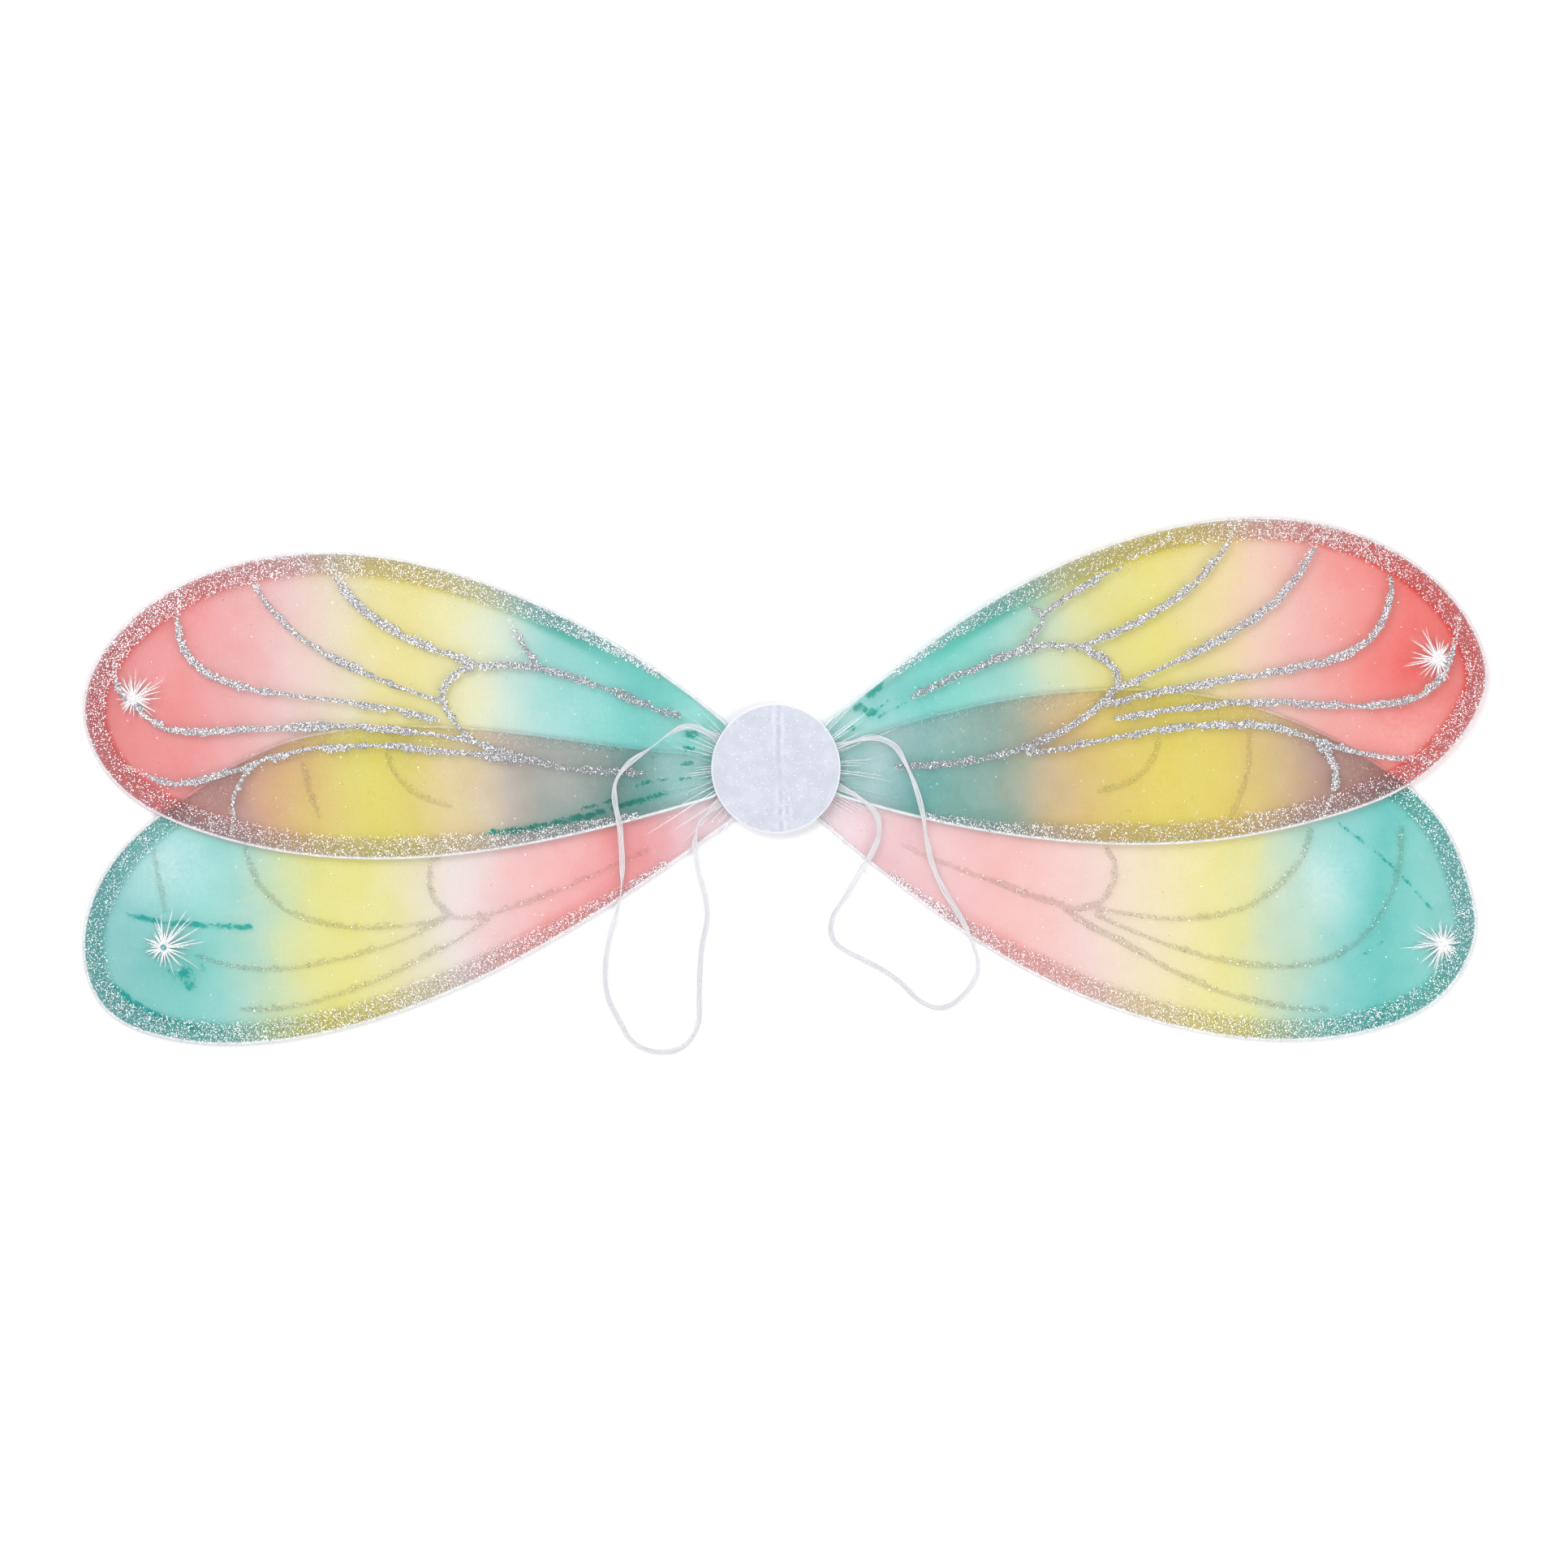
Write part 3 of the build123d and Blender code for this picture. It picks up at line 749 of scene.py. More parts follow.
# Where the colour is deeper, or paler below 0: centre, radius, strength
DEEP = {
    "upper_left": [(-372, 40, 34, 0.1), (-379, 66, 20, -0.2), (-105, 36, 26, -0.25),
                   (-120, -4, 26, -0.25)],
    "upper_right": [(384, 57, 20, 0.35), (366, 44, 30, 0.05), (395, 80, 16, 0.15),
                    (384, 24, 34, -0.4), (95, 23, 24, -0.35), (96, 62, 18, -0.2)],
    "lower_left": [(-118, -55, 20, -0.15), (-362, -118, 24, 0.3), (-366, -60, 30, -0.5)],
    "lower_right": [(362, -88, 26, 0.05), (335, -68, 24, -0.45), (90, -55, 20, -0.2)],
}


def top_outline(node):
    """The outline of a CAD plate's upper face, in order, as x, y in millimetres."""
    mesh = NODES[node].data
    height = max(v.co.z for v in mesh.vertices)
    keys, count = {}, {}
    for face in mesh.polygons:
        if face.normal.z < 0.9 or any(mesh.vertices[i].co.z < height - 1e-6
                                      for i in face.vertices):
            continue
        ring = []
        for i in face.vertices:
            co = mesh.vertices[i].co
            key = (round(co.x * 1e6), round(co.y * 1e6))
            keys[key] = (co.x / MM, co.y / MM)
            ring.append(key)
        for a, b in zip(ring, ring[1:] + ring[:1]):
            if (b, a) in count:
                del count[(b, a)]
            else:
                count[(a, b)] = True
    after = {a: b for a, b in count}
    loops = []
    while after:
        start, key = next(iter(after.items()))
        loop = [start]
        del after[start]
        while key in after:
            loop.append(key)
            key = after.pop(key)
        loops.append([keys[k] for k in loop])
    return np.array(max(loops, key=len))


def resample(line, step):
    """Even points along an open line."""
    lengths = distance_along(line)
    count = max(2, int(round(lengths[-1] / step)) + 1)
    at = np.linspace(0, lengths[-1], count)
    return np.c_[np.interp(at, lengths, line[:, 0]), np.interp(at, lengths, line[:, 1])]


def capsule_distance(points, line):
    """Distance of each point from an open line of a few corners."""
    best = np.full(len(points), 1e9)
    for a, b in zip(np.array(line[:-1], float), np.array(line[1:], float)):
        t = np.clip(((points - a) @ (b - a)) / ((b - a) @ (b - a)), 0, 1)
        best = np.minimum(best, np.hypot(*(points - a - t[:, None] * (b - a)).T))
    return best


class Wing:
    """What the pieces of one wing share: the wire's line, and the height of the skins."""

    def __init__(self, name, side, printed, knot, aim, root, seed, dye):
        self.name, self.side, self.printed, self.seed, self.dye = name, side, printed, seed, dye
        self.body = f"{name}_wing"
        self.level = name.split("_")[0]
        self.aim = radians(aim)
        low, high = (np.array(c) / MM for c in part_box(f"{name}_membrane"))
        self.z = (low[2] + high[2]) / 2
        self.knot = np.array((side * knot[0], knot[1]), float)
        self.root = np.array((side * 13.0, root), float)
        ring = top_outline(f"{name}_membrane")
        inner = np.abs(np.abs(ring[:, 0]) - MEMBRANE_START) < 0.02
        first = next(i for i in range(len(ring)) if not inner[i] and inner[i - 1])
        ring = np.roll(ring, -first, axis=0)
        line = resample(ring, RIM_STEP)
        out = self.normals(line)
        self.line = line + out * np.sqrt((WIRE_R + 0.15) ** 2 - SKIN_HALF ** 2)
        self.out = self.normals(self.line)
        self.plan_folds()

    @staticmethod
    def normals(line):
        """Outward normals of a line that runs round the wing anticlockwise."""
        along = directions(line)
        return np.c_[along[:, 1], -along[:, 0]]

    def plan_folds(self):
        """The folds that run out from the tip's knot and from the root: angle, width, length."""
        r = np.random.default_rng(self.seed)
        count = 30
        angles = (np.arange(count) + r.uniform(-0.42, 0.42, count)) * 2 * pi / count
        towards = np.cos(angles - self.aim)
        lengths = 10 + 17 * r.random(count) ** 1.2 * (0.62 + 0.58 * towards)
        self.tip_folds = np.c_[angles, r.uniform(0.030, 0.062, count), lengths]
        rim = self.line - self.root
        near = np.hypot(*rim.T) < 62
        bearing = np.arctan2(rim[near][:, 1], rim[near][:, 0] * self.side)
        low, high = bearing.min() + 0.07, bearing.max() - 0.07
        count = 30
        spread = np.linspace(low, high, count) + r.uniform(-0.014, 0.014, count)
        reach = 38 + 30 * r.random(count) ** 1.5 + 16 * (np.abs(spread - (low + high) / 2)
                                                         / (high - low) * 2) ** 3
        self.root_folds = np.c_[spread, r.uniform(0.010, 0.019, count), reach]
        self.root_fan = (low - 0.05, high + 0.05)

    def rim_distance(self, points):
        """How far each point is inside the wire's centre line."""
        a = self.line
        b = np.roll(a, -1, axis=0)
        best = np.full(len(points), 1e9)
        edge = b - a
        size = np.maximum((edge ** 2).sum(1), 1e-9)
        for i in range(0, len(points), 2000):
            p = points[i:i + 2000, None, :]
            t = np.clip(((p - a) * edge).sum(2) / size, 0, 1)
            gap = p - (a + edge * t[..., None])
            best[i:i + 2000] = np.sqrt((gap ** 2).sum(2).min(1))
        return best

    def folds(self, points):
        """Height of the gathers (0 to 1) at the tip and at the root."""
        away = points - self.knot
        r, a = np.hypot(*away.T), np.arctan2(away[:, 1], away[:, 0])
        tip = np.zeros(len(points))
        for angle, width, length in self.tip_folds:
            turn = np.abs((a - angle + pi) % (2 * pi) - pi)
            tip += np.exp(-(turn / width) ** 2) * (1 - smoothstep(r, 0.25 * length, length))
        tip *= smoothstep(r, 0.5, 3.0)
        away = points - self.root
        r, a = np.hypot(*away.T), np.arctan2(away[:, 1], away[:, 0] * self.side)
        root = np.zeros(len(points))
        for angle, width, length in self.root_folds:
            root += np.exp(-((a - angle) / width) ** 2) * (1 - smoothstep(r, 0.3 * length,
                                                                          length * 1.15))
        return np.clip(tip, 0, 1.2), np.clip(root, 0, 1.2)

    def stains(self, points):
        """How much dye has pooled at each point, and how much deeper the colour is there."""
        stain = np.zeros(len(points))
        for line, width, strength in STAINS[self.name]:
            away = capsule_distance(points, line)
            stain = np.maximum(stain, strength * (1 - smoothstep(away, 0.2 * width,
                                                                 2.3 * width)))
        deep = np.zeros(len(points))
        for x, y, radius, strength in DEEP[self.name]:
            away = np.hypot(points[:, 0] - x, points[:, 1] - y)
            deep += strength * np.exp(-(away / radius) ** 2)
        return stain, deep

    def skin(self, points, rim=None):
        """Height of the front skin over the wing's middle, and the sag that both skins share."""
        rim = self.rim_distance(points) if rim is None else rim
        half = SKIN_HALF + (SLEEVE_R - SKIN_HALF) * (1 - smoothstep(rim, 0.5, 4.2))
        tip, root = self.folds(points)
        inside = smoothstep(rim, 1.0, 6.0)
        from_knot = np.hypot(*(points - self.knot).T)
        pinch = 1 - 0.35 * (1 - smoothstep(from_knot, 1.0, 4.0))
        half = half * pinch + inside * (0.42 * tip + 0.38 * root)
        sag = 0.14 * wobble(points, 46, self.seed) * smoothstep(rim, 2, 25)
        return half, sag, tip * inside, root * inside

    def height(self, points, side):
        """Height in the whole object's frame of one skin, side +1 for the front one."""
        half, sag, _, _ = self.skin(points)
        return self.z + sag + side * half


def inside_line(points, line):
    """Whether each point is inside a closed line."""
    x, y = points.T
    hit = np.zeros(len(points), bool)
    for (x0, y0), (x1, y1) in zip(line, np.roll(line, -1, axis=0)):
        if y0 == y1:
            continue
        cross = (y0 > y) != (y1 > y)
        hit ^= cross & (x < (x1 - x0) * (y - y0) / (y1 - y0) + x0)
    return hit


def skin_points(wing):
    """Points of the skins: rings under the wire, fans at the knot and the root, a grid."""
    rings = [wing.line - wing.out * d for d in RIM_RINGS]
    points = np.concatenate(rings)
    low, high = wing.line.min(0), wing.line.max(0)
    row = GRID_STEP * sin(pi / 3)
    grid = []
    for j, y in enumerate(np.arange(low[1], high[1], row)):
        for x in np.arange(low[0] + (j % 2) * GRID_STEP / 2, high[0], GRID_STEP):
            grid.append((x, y))
    grid = np.array(grid)
    far = np.hypot(*(grid - wing.knot).T) > KNOT_RINGS[-1] + 1.5
    far &= np.hypot(*(grid - wing.root).T) > ROOT_STEPS[-1] + 1.5
    grid = grid[far]
    turns = np.arange(KNOT_SIDES) * 2 * pi / KNOT_SIDES
    fan = [wing.knot]
    for i, r in enumerate(KNOT_RINGS):
        step = 2 if i < 3 else 1
        for a in turns[::step]:
            fan.append(wing.knot + r * np.array((cos(a), sin(a))))
    low_a, high_a = wing.root_fan
    for r in ROOT_STEPS:
        count = min(ROOT_SIDES, int(r * (high_a - low_a) / 0.62))
        for a in np.linspace(low_a, high_a, count):
            fan.append(wing.root + r * np.array((wing.side * cos(a), sin(a))))
    fine = []
    for line, width, _ in STAINS[wing.name]:
        reach = 2.2 * width + 0.9
        corners = np.array(line, float)
        xs = np.arange(corners[:, 0].min() - reach, corners[:, 0].max() + reach, STAIN_STEP)
        ys = np.arange(corners[:, 1].min() - reach, corners[:, 1].max() + reach, STAIN_STEP)
        local = np.array([(x, y) for x in xs for y in ys])
        fine.append(local[capsule_distance(local, line) < reach])
        grid = grid[capsule_distance(grid, line) > reach + 0.6]
    extra = np.concatenate([grid, np.array(fan), *fine])
    clear = wing.rim_distance(extra)
    keep = clear > np.where(np.arange(len(extra)) < len(grid) + len(fan), 5.2, 0.9)
    extra = extra[inside_line(extra, wing.line) & keep]
    narrow = points[inside_line(points, wing.line)]
    rims = wing.rim_distance(narrow)
    steps = np.repeat(RIM_RINGS, len(wing.line))[inside_line(points, wing.line)]
    narrow = narrow[rims > 0.93 * steps]
    return np.concatenate([narrow, extra])


RIM_RINGS = (0.8, 1.6, 2.6, 4.2)   # how far inside the wire the skin's outer rings lie
WRAP = (60, 30, 0, -30, -60)   # where the sleeve's rings go round the wire, in degrees


def partner(wing):
    """The other wing of its pair, which overlaps this one."""
    other = {"upper": "lower", "lower": "upper"}[wing.level]
    return wings[wing.name.replace(wing.level, other)]


def make_skin(wing, material, other):
    """The nylon sleeve of one wing: a front and a back skin that wrap the wire as one."""
    edge = wing.line
    inner = skin_points(wing)
    everything = np.concatenate([edge, inner])
    m = len(edge)
    ring = [(i, (i + 1) % m) for i in range(m)]
    flat, _, faces, sources, _, _ = geometry.delaunay_2d_cdt(
        [Vector(p) for p in everything.tolist()], ring, [], 1, 1e-5, True)
    flat = np.array([tuple(p) for p in flat])
    found = {s: i for i, several in enumerate(sources) for s in several}
    border = [found[i] for i in range(m)]
    rim = wing.rim_distance(flat)
    half, sag, tip, root = wing.skin(flat, rim)
    stain, deep = wing.stains(flat)
    near = 1 - smoothstep(np.hypot(*(flat - wing.root).T), 42, 80)
    # where the other wing of the pair overlaps this one, painted light makes the nylon clearer
    depth = other.rim_distance(flat) * np.where(inside_line(flat, other.line), 1, -1)
    under = OVERLAP_LIGHT_SHARE[wing.printed] * smoothstep(depth, -5, 10)
    n = len(flat)
    top = np.c_[flat, wing.z + sag + half]
    bottom = np.c_[flat, wing.z + sag - half]
    wrap = []
    for turn in WRAP:
        a = radians(turn)
        wrap.append(np.c_[edge + wing.out * SLEEVE_R * cos(a),
                          np.full(m, wing.z + SLEEVE_R * sin(a))])
    verts = np.concatenate([top, bottom, *wrap])
    made = []
    for f in faces:
        p, q, r = flat[list(f[:3])]
        up = (q[0] - p[0]) * (r[1] - p[1]) - (q[1] - p[1]) * (r[0] - p[0]) > 0
        made.append(tuple(f) if up else tuple(f)[::-1])
        made.append(tuple(i + n for i in (f[::-1] if up else f)))
    rows = [border] + [[2 * n + k * m + i for i in range(m)] for k in range(len(WRAP))]
    rows.append([n + i for i in border])
    for upper, lower in zip(rows, rows[1:]):
        for i in range(m):
            j = (i + 1) % m
            made.append((upper[i], lower[i], lower[j], upper[j]))
    shares = {"rim": rim, "tip": tip, "root": root, "near": near, "stain": stain,
              "deep": deep, "under": under}
    wrapped = np.zeros(len(WRAP) * m)
    skin = build(f"{wing.name}_nylon", verts, made, attributes={
        key: np.concatenate([values, values, wrapped]) for key, values in shares.items()})
    place_piece(skin, material, wing.body, f"{wing.name}_membrane")


TINT_POWER = 0.245        # the dye's colour as one skin tints what is seen through it
KNIT_PITCH = (1.05, 0.8)   # from one stitch to the next, across and up
CLOTH_POWER = 0.6         # and as it colours the light that the threads scatter
BAND_RICHER = {1: 1.7, -1: 0.6}   # the dye is deeper under the glitter band
# painted light in the overlap, against the shade that the two layers cast
OVERLAP_LIGHT_SHARE = {1: 0.42, -1: 0.47}  # how much each wing of a pair is clearer in the overlap
STAIN_COLOURS = {"upper": "#169684", "lower": "#1d9a90"}


def nylon_material(wing):
    """Sheer knitted nylon, dip-dyed in bands across the wing."""
    g = Graph(f"{wing.name}_nylon_dye")
    where = g.place()
    split = g.node("SeparateXYZ", {0: where})
    x, y = split.outputs[0], split.outputs[1]
    out = g.math("MULTIPLY", g.math("ABSOLUTE", x), 1 / MM)
    drift = g.math("MULTIPLY_ADD", g.noise(where, 38, 3.0), 30.0, -15.0)
    fine = g.math("MULTIPLY_ADD", g.noise(where, 7, 4.0, 0.7), 10.0, -5.0)
    at = g.math("ADD", out, g.math("ADD", drift, fine))
    at = g.math("MULTIPLY", at, 1 / DYE_SPAN)
    dye = g.ramp(at, [(d / DYE_SPAN, linear(c)) for d, c in wing.dye])
    # where the wings of a pair overlap, a paler dye with painted light
    if wing.name in OVERLAP_DYE_LIT:
        hidden = g.ramp(at, [(d / DYE_SPAN, linear(c)) for d, c in OVERLAP_DYE_LIT[wing.name]])
        dye = g.mix(g.attribute("under"), dye, hidden)
    rim, tip, root = g.attribute("rim"), g.attribute("tip"), g.attribute("root")
    blotch = g.remap(g.noise(where, 16, 4.0, 0.65), 0.35, 0.75)
    band = g.math("MULTIPLY", g.remap(rim, 9.0, 15.0, BAND_RICHER[wing.printed], 0.0),
                  g.remap(out, 80.0, 170.0))
    # painted light: less of the deeper rim where the wings of a pair overlap
    band = g.math("MULTIPLY", band, g.math("MULTIPLY_ADD", g.attribute("under"), -1.9, 1.0),
                  clamp=True)
    richer = g.math("MULTIPLY_ADD", blotch, 0.16, band)
    streaky = g.noise(where, 3.0, 4.0, 0.7)
    deep = g.math("MULTIPLY", g.attribute("deep"), g.remap(streaky, 0.25, 0.7, 0.6, 1.4))
    richer = g.math("ADD", richer, g.math("MULTIPLY", deep, 0.9))
    between = g.math("MULTIPLY", g.attribute("near"), g.math("SUBTRACT", 1.0, root, clamp=True))
    richer = g.math("ADD", richer, g.math("MULTIPLY", between, 0.15))
    # painted light: paler near the hub, against the shade that the hub and the layers cast there
    richer = g.math("MULTIPLY_ADD", g.attribute("near"), -0.62, richer)
    # painted light: an upper wing is also paler over the overlap
    if wing.printed > 0:
        richer = g.math("MULTIPLY_ADD", g.attribute("under"), -0.12, richer)
    grain = g.noise(where, 0.8, 3.0, 0.75)
    richer = g.math("ADD", richer, g.math("MULTIPLY_ADD", grain, 0.9, -0.45))
    rich = g.node("Gamma", {"Color": dye, "Gamma": g.math("ADD", richer, 1.0)}).outputs[0]
    broken = g.math("ADD", g.noise(where, 1.5, 4.0, 0.7), g.noise(where, 5.0, 2.0))
    blot = g.math("MULTIPLY_ADD", broken, 2.3, g.math("SUBTRACT", g.attribute("stain"), 2.55))
    blot = g.math("MULTIPLY", g.remap(blot, 0.0, 0.4), g.remap(g.attribute("stain"), 0.02, 0.2))
    pooled = linear(STAIN_COLOURS[wing.level])
    rich = g.mix(blot, rich, pooled)
    white = g.math("MULTIPLY_ADD", tip, 0.45, g.math("MULTIPLY", root, 0.2), clamp=True)
    # whiter over the wire: partly the nylon stretched thin over the white wire, partly a painted
    # sheen
    wire = g.remap(rim, 0.2, 1.3, 0.85, 0.0)
    white = g.math("MAXIMUM", white, wire)
    colour = g.mix(white, rich, (0.97, 0.97, 0.98, 1))
    knit_x = g.math("SINE", g.math("MULTIPLY", x, 2 * pi / (KNIT_PITCH[0] * MM)))
    knit_y = g.math("SINE", g.math("MULTIPLY", y, 2 * pi / (KNIT_PITCH[1] * MM)))
    knit = g.math("MULTIPLY_ADD", knit_x, 0.5, g.math("MULTIPLY", knit_y, 0.35))
    patchy = g.remap(g.noise(where, 28, 2.0), 0.35, 0.7)
    knit = g.math("MULTIPLY", knit, g.math("MULTIPLY_ADD", patchy, 0.8, 0.3))
    cover = g.math("MULTIPLY_ADD", knit, 0.035, 0.09)
    cover = g.math("ADD", cover, g.math("MULTIPLY", white, 0.35), clamp=True)
    normal = g.bump(knit, 0.35, 0.12)
    # the threads hold back a little of every colour; where the wings of a pair overlap, painted
    # light gives that back
    veil_and_overlap_light = g.mix(g.attribute("under"), (0.85, 0.85, 0.86, 1), (1, 1, 1, 1))
    seen = g.mix(1.0, colour, veil_and_overlap_light, "MULTIPLY")
    tint = g.node("Gamma", {"Color": seen, "Gamma": TINT_POWER}).outputs[0]
    body = g.node("Gamma", {"Color": colour, "Gamma": CLOTH_POWER}).outputs[0]
    clear = g.node("BsdfTransparent", {"Color": tint})
    front = g.node("BsdfDiffuse", {"Color": body, "Normal": normal})
    through = g.node("BsdfTranslucent", {"Color": body, "Normal": normal})
    cloth = g.node("MixShader", {0: 0.45, 1: front.outputs[0], 2: through.outputs[0]})
    sheen = g.node("BsdfAnisotropic", {"Color": (1, 1, 1, 1), "Roughness": 0.42,
                                       "Normal": normal})
    cloth = g.node("MixShader", {0: 0.04, 1: cloth.outputs[0], 2: sheen.outputs[0]})
    shader = g.node("MixShader", {0: cover, 1: clear.outputs[0], 2: cloth.outputs[0]})
    return g.done(shader.outputs[0])


def wire_material():
    g = Graph("frame_wire")
    where = g.place()
    scuff = g.noise(where, 6.0, 5.0, 0.7)
    colour = g.mix(g.remap(scuff, 0.35, 0.7), linear("#d8d9dc"), linear("#f4f4f6"))
    rough = g.remap(scuff, 0.3, 0.7, 0.42, 0.25)
    shader = g.node("BsdfPrincipled", {"Base Color": colour, "Roughness": rough,
                                       "Normal": g.bump(scuff, 0.15, 0.1)})
    return g.done(shader.outputs[0])


wire = wire_material()
wings = {name: Wing(name, **facts) for name, facts in WINGS.items()}
for wing in wings.values():
    make_skin(wing, nylon_material(wing), partner(wing))
    cad_frame = NODES[f"{wing.name}_frame"]
    cad_frame.data.materials.clear()
    cad_frame.data.materials.append(wire)

# ---- gathers and knots --------------------------------------------------------------
RIDGE_STEPS = 9
KNOT_R = 2.5
KNOT_LOBES = 11


def ridges(wing, centre, specs, side):
    """Sharp little folds that lie on a skin and taper outwards: angle, start, end, width,
    height, bend."""
    verts, faces = [], []
    for angle, start, end, width, height, bend in specs:
        first = len(verts)
        t = np.linspace(0, 1, RIDGE_STEPS)
        r = start + (end - start) * t
        turn = angle + bend * t ** 2
        middle = centre + np.c_[r * np.cos(turn), r * np.sin(turn)]
        across = np.c_[-np.sin(turn), np.cos(turn)]
        half = 0.5 * width * (1 - t) ** 0.5 + 0.06
        z = wing.height(middle, side) - side * 0.06
        crest = z + side * (height * (1 - t) ** 0.8 + 0.10)
        for k in range(RIDGE_STEPS):
            left, right = middle[k] - across[k] * half[k], middle[k] + across[k] * half[k]
            verts += [(*left, z[k]), (*middle[k], crest[k]), (*right, z[k])]
        quads = grid_faces(RIDGE_STEPS, 3, close=True, start=first)
        quads += [(first, first + 1, first + 2)]
        last = first + 3 * (RIDGE_STEPS - 1)
        quads += [(last + 2, last + 1, last)]
        faces += quads if side < 0 else [q[::-1] for q in quads]
    return verts, faces


def gather_material():
    g = Graph("gathered_nylon")
    where = g.place()
    thin = g.noise(where, 1.2, 4.0, 0.7)
    colour = g.mix(g.remap(thin, 0.3, 0.7), linear("#e9e6e8"), (1, 1, 1, 1))
    cloth = g.node("BsdfPrincipled", {"Base Color": colour, "Roughness": 0.6,
                                      "Sheen Weight": 0.3, "Normal": g.bump(thin, 0.3, 0.1)})
    clear = g.node("BsdfTransparent", {"Color": (1, 1, 1, 1)})
    cover = g.remap(thin, 0.25, 0.70, 0.6, 1.0)
    shader = g.node("MixShader", {0: cover, 1: clear.outputs[0], 2: cloth.outputs[0]})
    return g.done(shader.outputs[0])


def make_gathers(wing, material):
    """The sharp folds round the tip's knot and along the root, on both skins."""
    r = np.random.default_rng(wing.seed + 50)
    verts, faces = [], []
    tips = []
    for angle, _, length in wing.tip_folds:
        for _ in range(2):
            tips.append((angle + r.normal(0, 0.06), r.uniform(0.9, 1.9),
                         length * r.uniform(0.5, 1.1), r.uniform(0.55, 1.0),
                         r.uniform(0.16, 0.34), r.normal(0, 0.04)))
    roots = []
    for angle, _, length in wing.root_folds:
        if r.random() < 0.6:
            turned = angle if wing.side > 0 else pi - angle
            roots.append((turned, 21.0, length * r.uniform(0.65, 1.05), r.uniform(0.3, 0.65),
                          r.uniform(0.12, 0.25), r.normal(0, 0.02)))
    for side in (1, -1):
        for centre, specs in ((wing.knot, tips), (wing.root, roots)):
            more, their = ridges(wing, centre, specs, side)
            faces += [tuple(i + len(verts) for i in f) for f in their]
            verts += more
    piece = build(f"{wing.name}_gathers", verts, faces, smooth=False)
    place_piece(piece, material, wing.body)


def make_knot(wing, material):
    """A puckered button of nylon with thread wound round its neck."""
    rows, sides = 8, 66
    base = float(wing.height(wing.knot[None, :], 1)[0]) - 0.15
    verts = []
    for i in range(rows):
        t = i / (rows - 1)
        for k in range(sides):
            a = 2 * pi * k / sides
            lobe = 1 + 0.13 * cos(KNOT_LOBES * a + 2 * t) * t
            stray = 1 + 0.12 * noise_at(1.5 * cos(a), 1.5 * sin(a), wing.seed)
            rr = (0.06 + 0.94 * t) * KNOT_R * 0.86 * lobe * stray
            z = base + 1.05 * (1 - t ** 2.2) ** 0.75 * (1 - 0.25 * (1 - t) ** 3)
            verts.append((wing.knot[0] + rr * cos(a), wing.knot[1] + rr * sin(a), z))
    n = rows * sides
    faces = grid_faces(rows, sides, close=True, flip=True)
    faces.append(tuple(range(sides)))
    faces.append(tuple(range(n - sides, n))[::-1])
    rings = []
    for k in range(4):
        a = np.linspace(0, 2 * pi, 41)
        rr = KNOT_R * (0.80 - 0.05 * k) * (1 + 0.03 * np.cos(3 * a + k))
        z = base + 0.22 + 0.19 * k + 0.05 * np.sin(a * 2 + k)
        rings.append(np.c_[wing.knot[0] + rr * np.cos(a), wing.knot[1] + rr * np.sin(a), z])
    more, their, along = tubes(rings, 0.13, 5)
    faces += [tuple(i + n for i in f) for f in their]
    piece = build(f"{wing.name}_tip_button", verts + more, faces,
                  attributes={"along": np.r_[np.zeros(n), along]})
    place_piece(piece, material, wing.body, f"{wing.name}_tip_knot")


TIE_START, TIE_L, TIE_TURNS = 5.0, 8.0, 17
TIE_HALF_W, TIE_HALF_H, TIE_THREAD_R = 2.2, 1.15, 0.2


def make_tie(wing, material):
    """Thread wound round the two legs of a frame, in two passes, the second one outside."""
    lines = []
    for lean, turns in ((0.0, TIE_TURNS), (0.5, TIE_TURNS * 0.6)):
        t = np.linspace(0, 1, int(turns * 26))
        a = 2 * pi * turns * t
        flat = np.abs(np.cos(a)) ** 0.7 * np.sign(np.cos(a))
        tall = np.abs(np.sin(a)) ** 0.9 * np.sign(np.sin(a))
        grow = 0.12 + 0.16 * (lean > 0)
        x = wing.side * (TIE_START + 0.2 + (TIE_L - 0.4) * (t if lean == 0 else 1 - t))
        lines.append(np.c_[x, wing.root[1] + flat * (TIE_HALF_W + grow - TIE_THREAD_R),
                           wing.z + tall * (TIE_HALF_H + grow - TIE_THREAD_R)])
    verts, faces, along = tubes(lines, TIE_THREAD_R, 5)
    piece = build(f"{wing.name}_root_winding", verts, faces, attributes={"along": along})
    place_piece(piece, material, wing.body, f"{wing.name}_root_tie")


# ---- glitter ------------------------------------------------------------------------
FLAKE_R = (0.25, 0.50)
VEIN_TRIM = {-1: 1.3, 1: 1.05}   # how far a left or a right vein is drawn in from the CAD one
VEIN_FLAKES = 2.6         # flakes on each square millimetre of an upper vein, before it fades
VEIN_FILM_T = 0.22
FRONT_SHARE = 0.3         # of the flakes on a lower wing's veins, the ones on its front
VEIN_FADE = (0.42, 80, 230)   # the share left at the root, and the distances it grows over
BAND_W = 13.0
BAND_MARGIN = 0.08
BAND_END_SHARE = 0.25
BAND_GROWTH = 5.0
BAND_FLAKES = 1.35
BAND_SHARE = {1: 0.32, -1: 0.52}   # of the flakes tried, the ones that stay
BAND_FRONT = 0.72         # of the flakes in a lower wing's band, the ones on its front
BAND_FILM_T = 0.12
STRAYS = 420
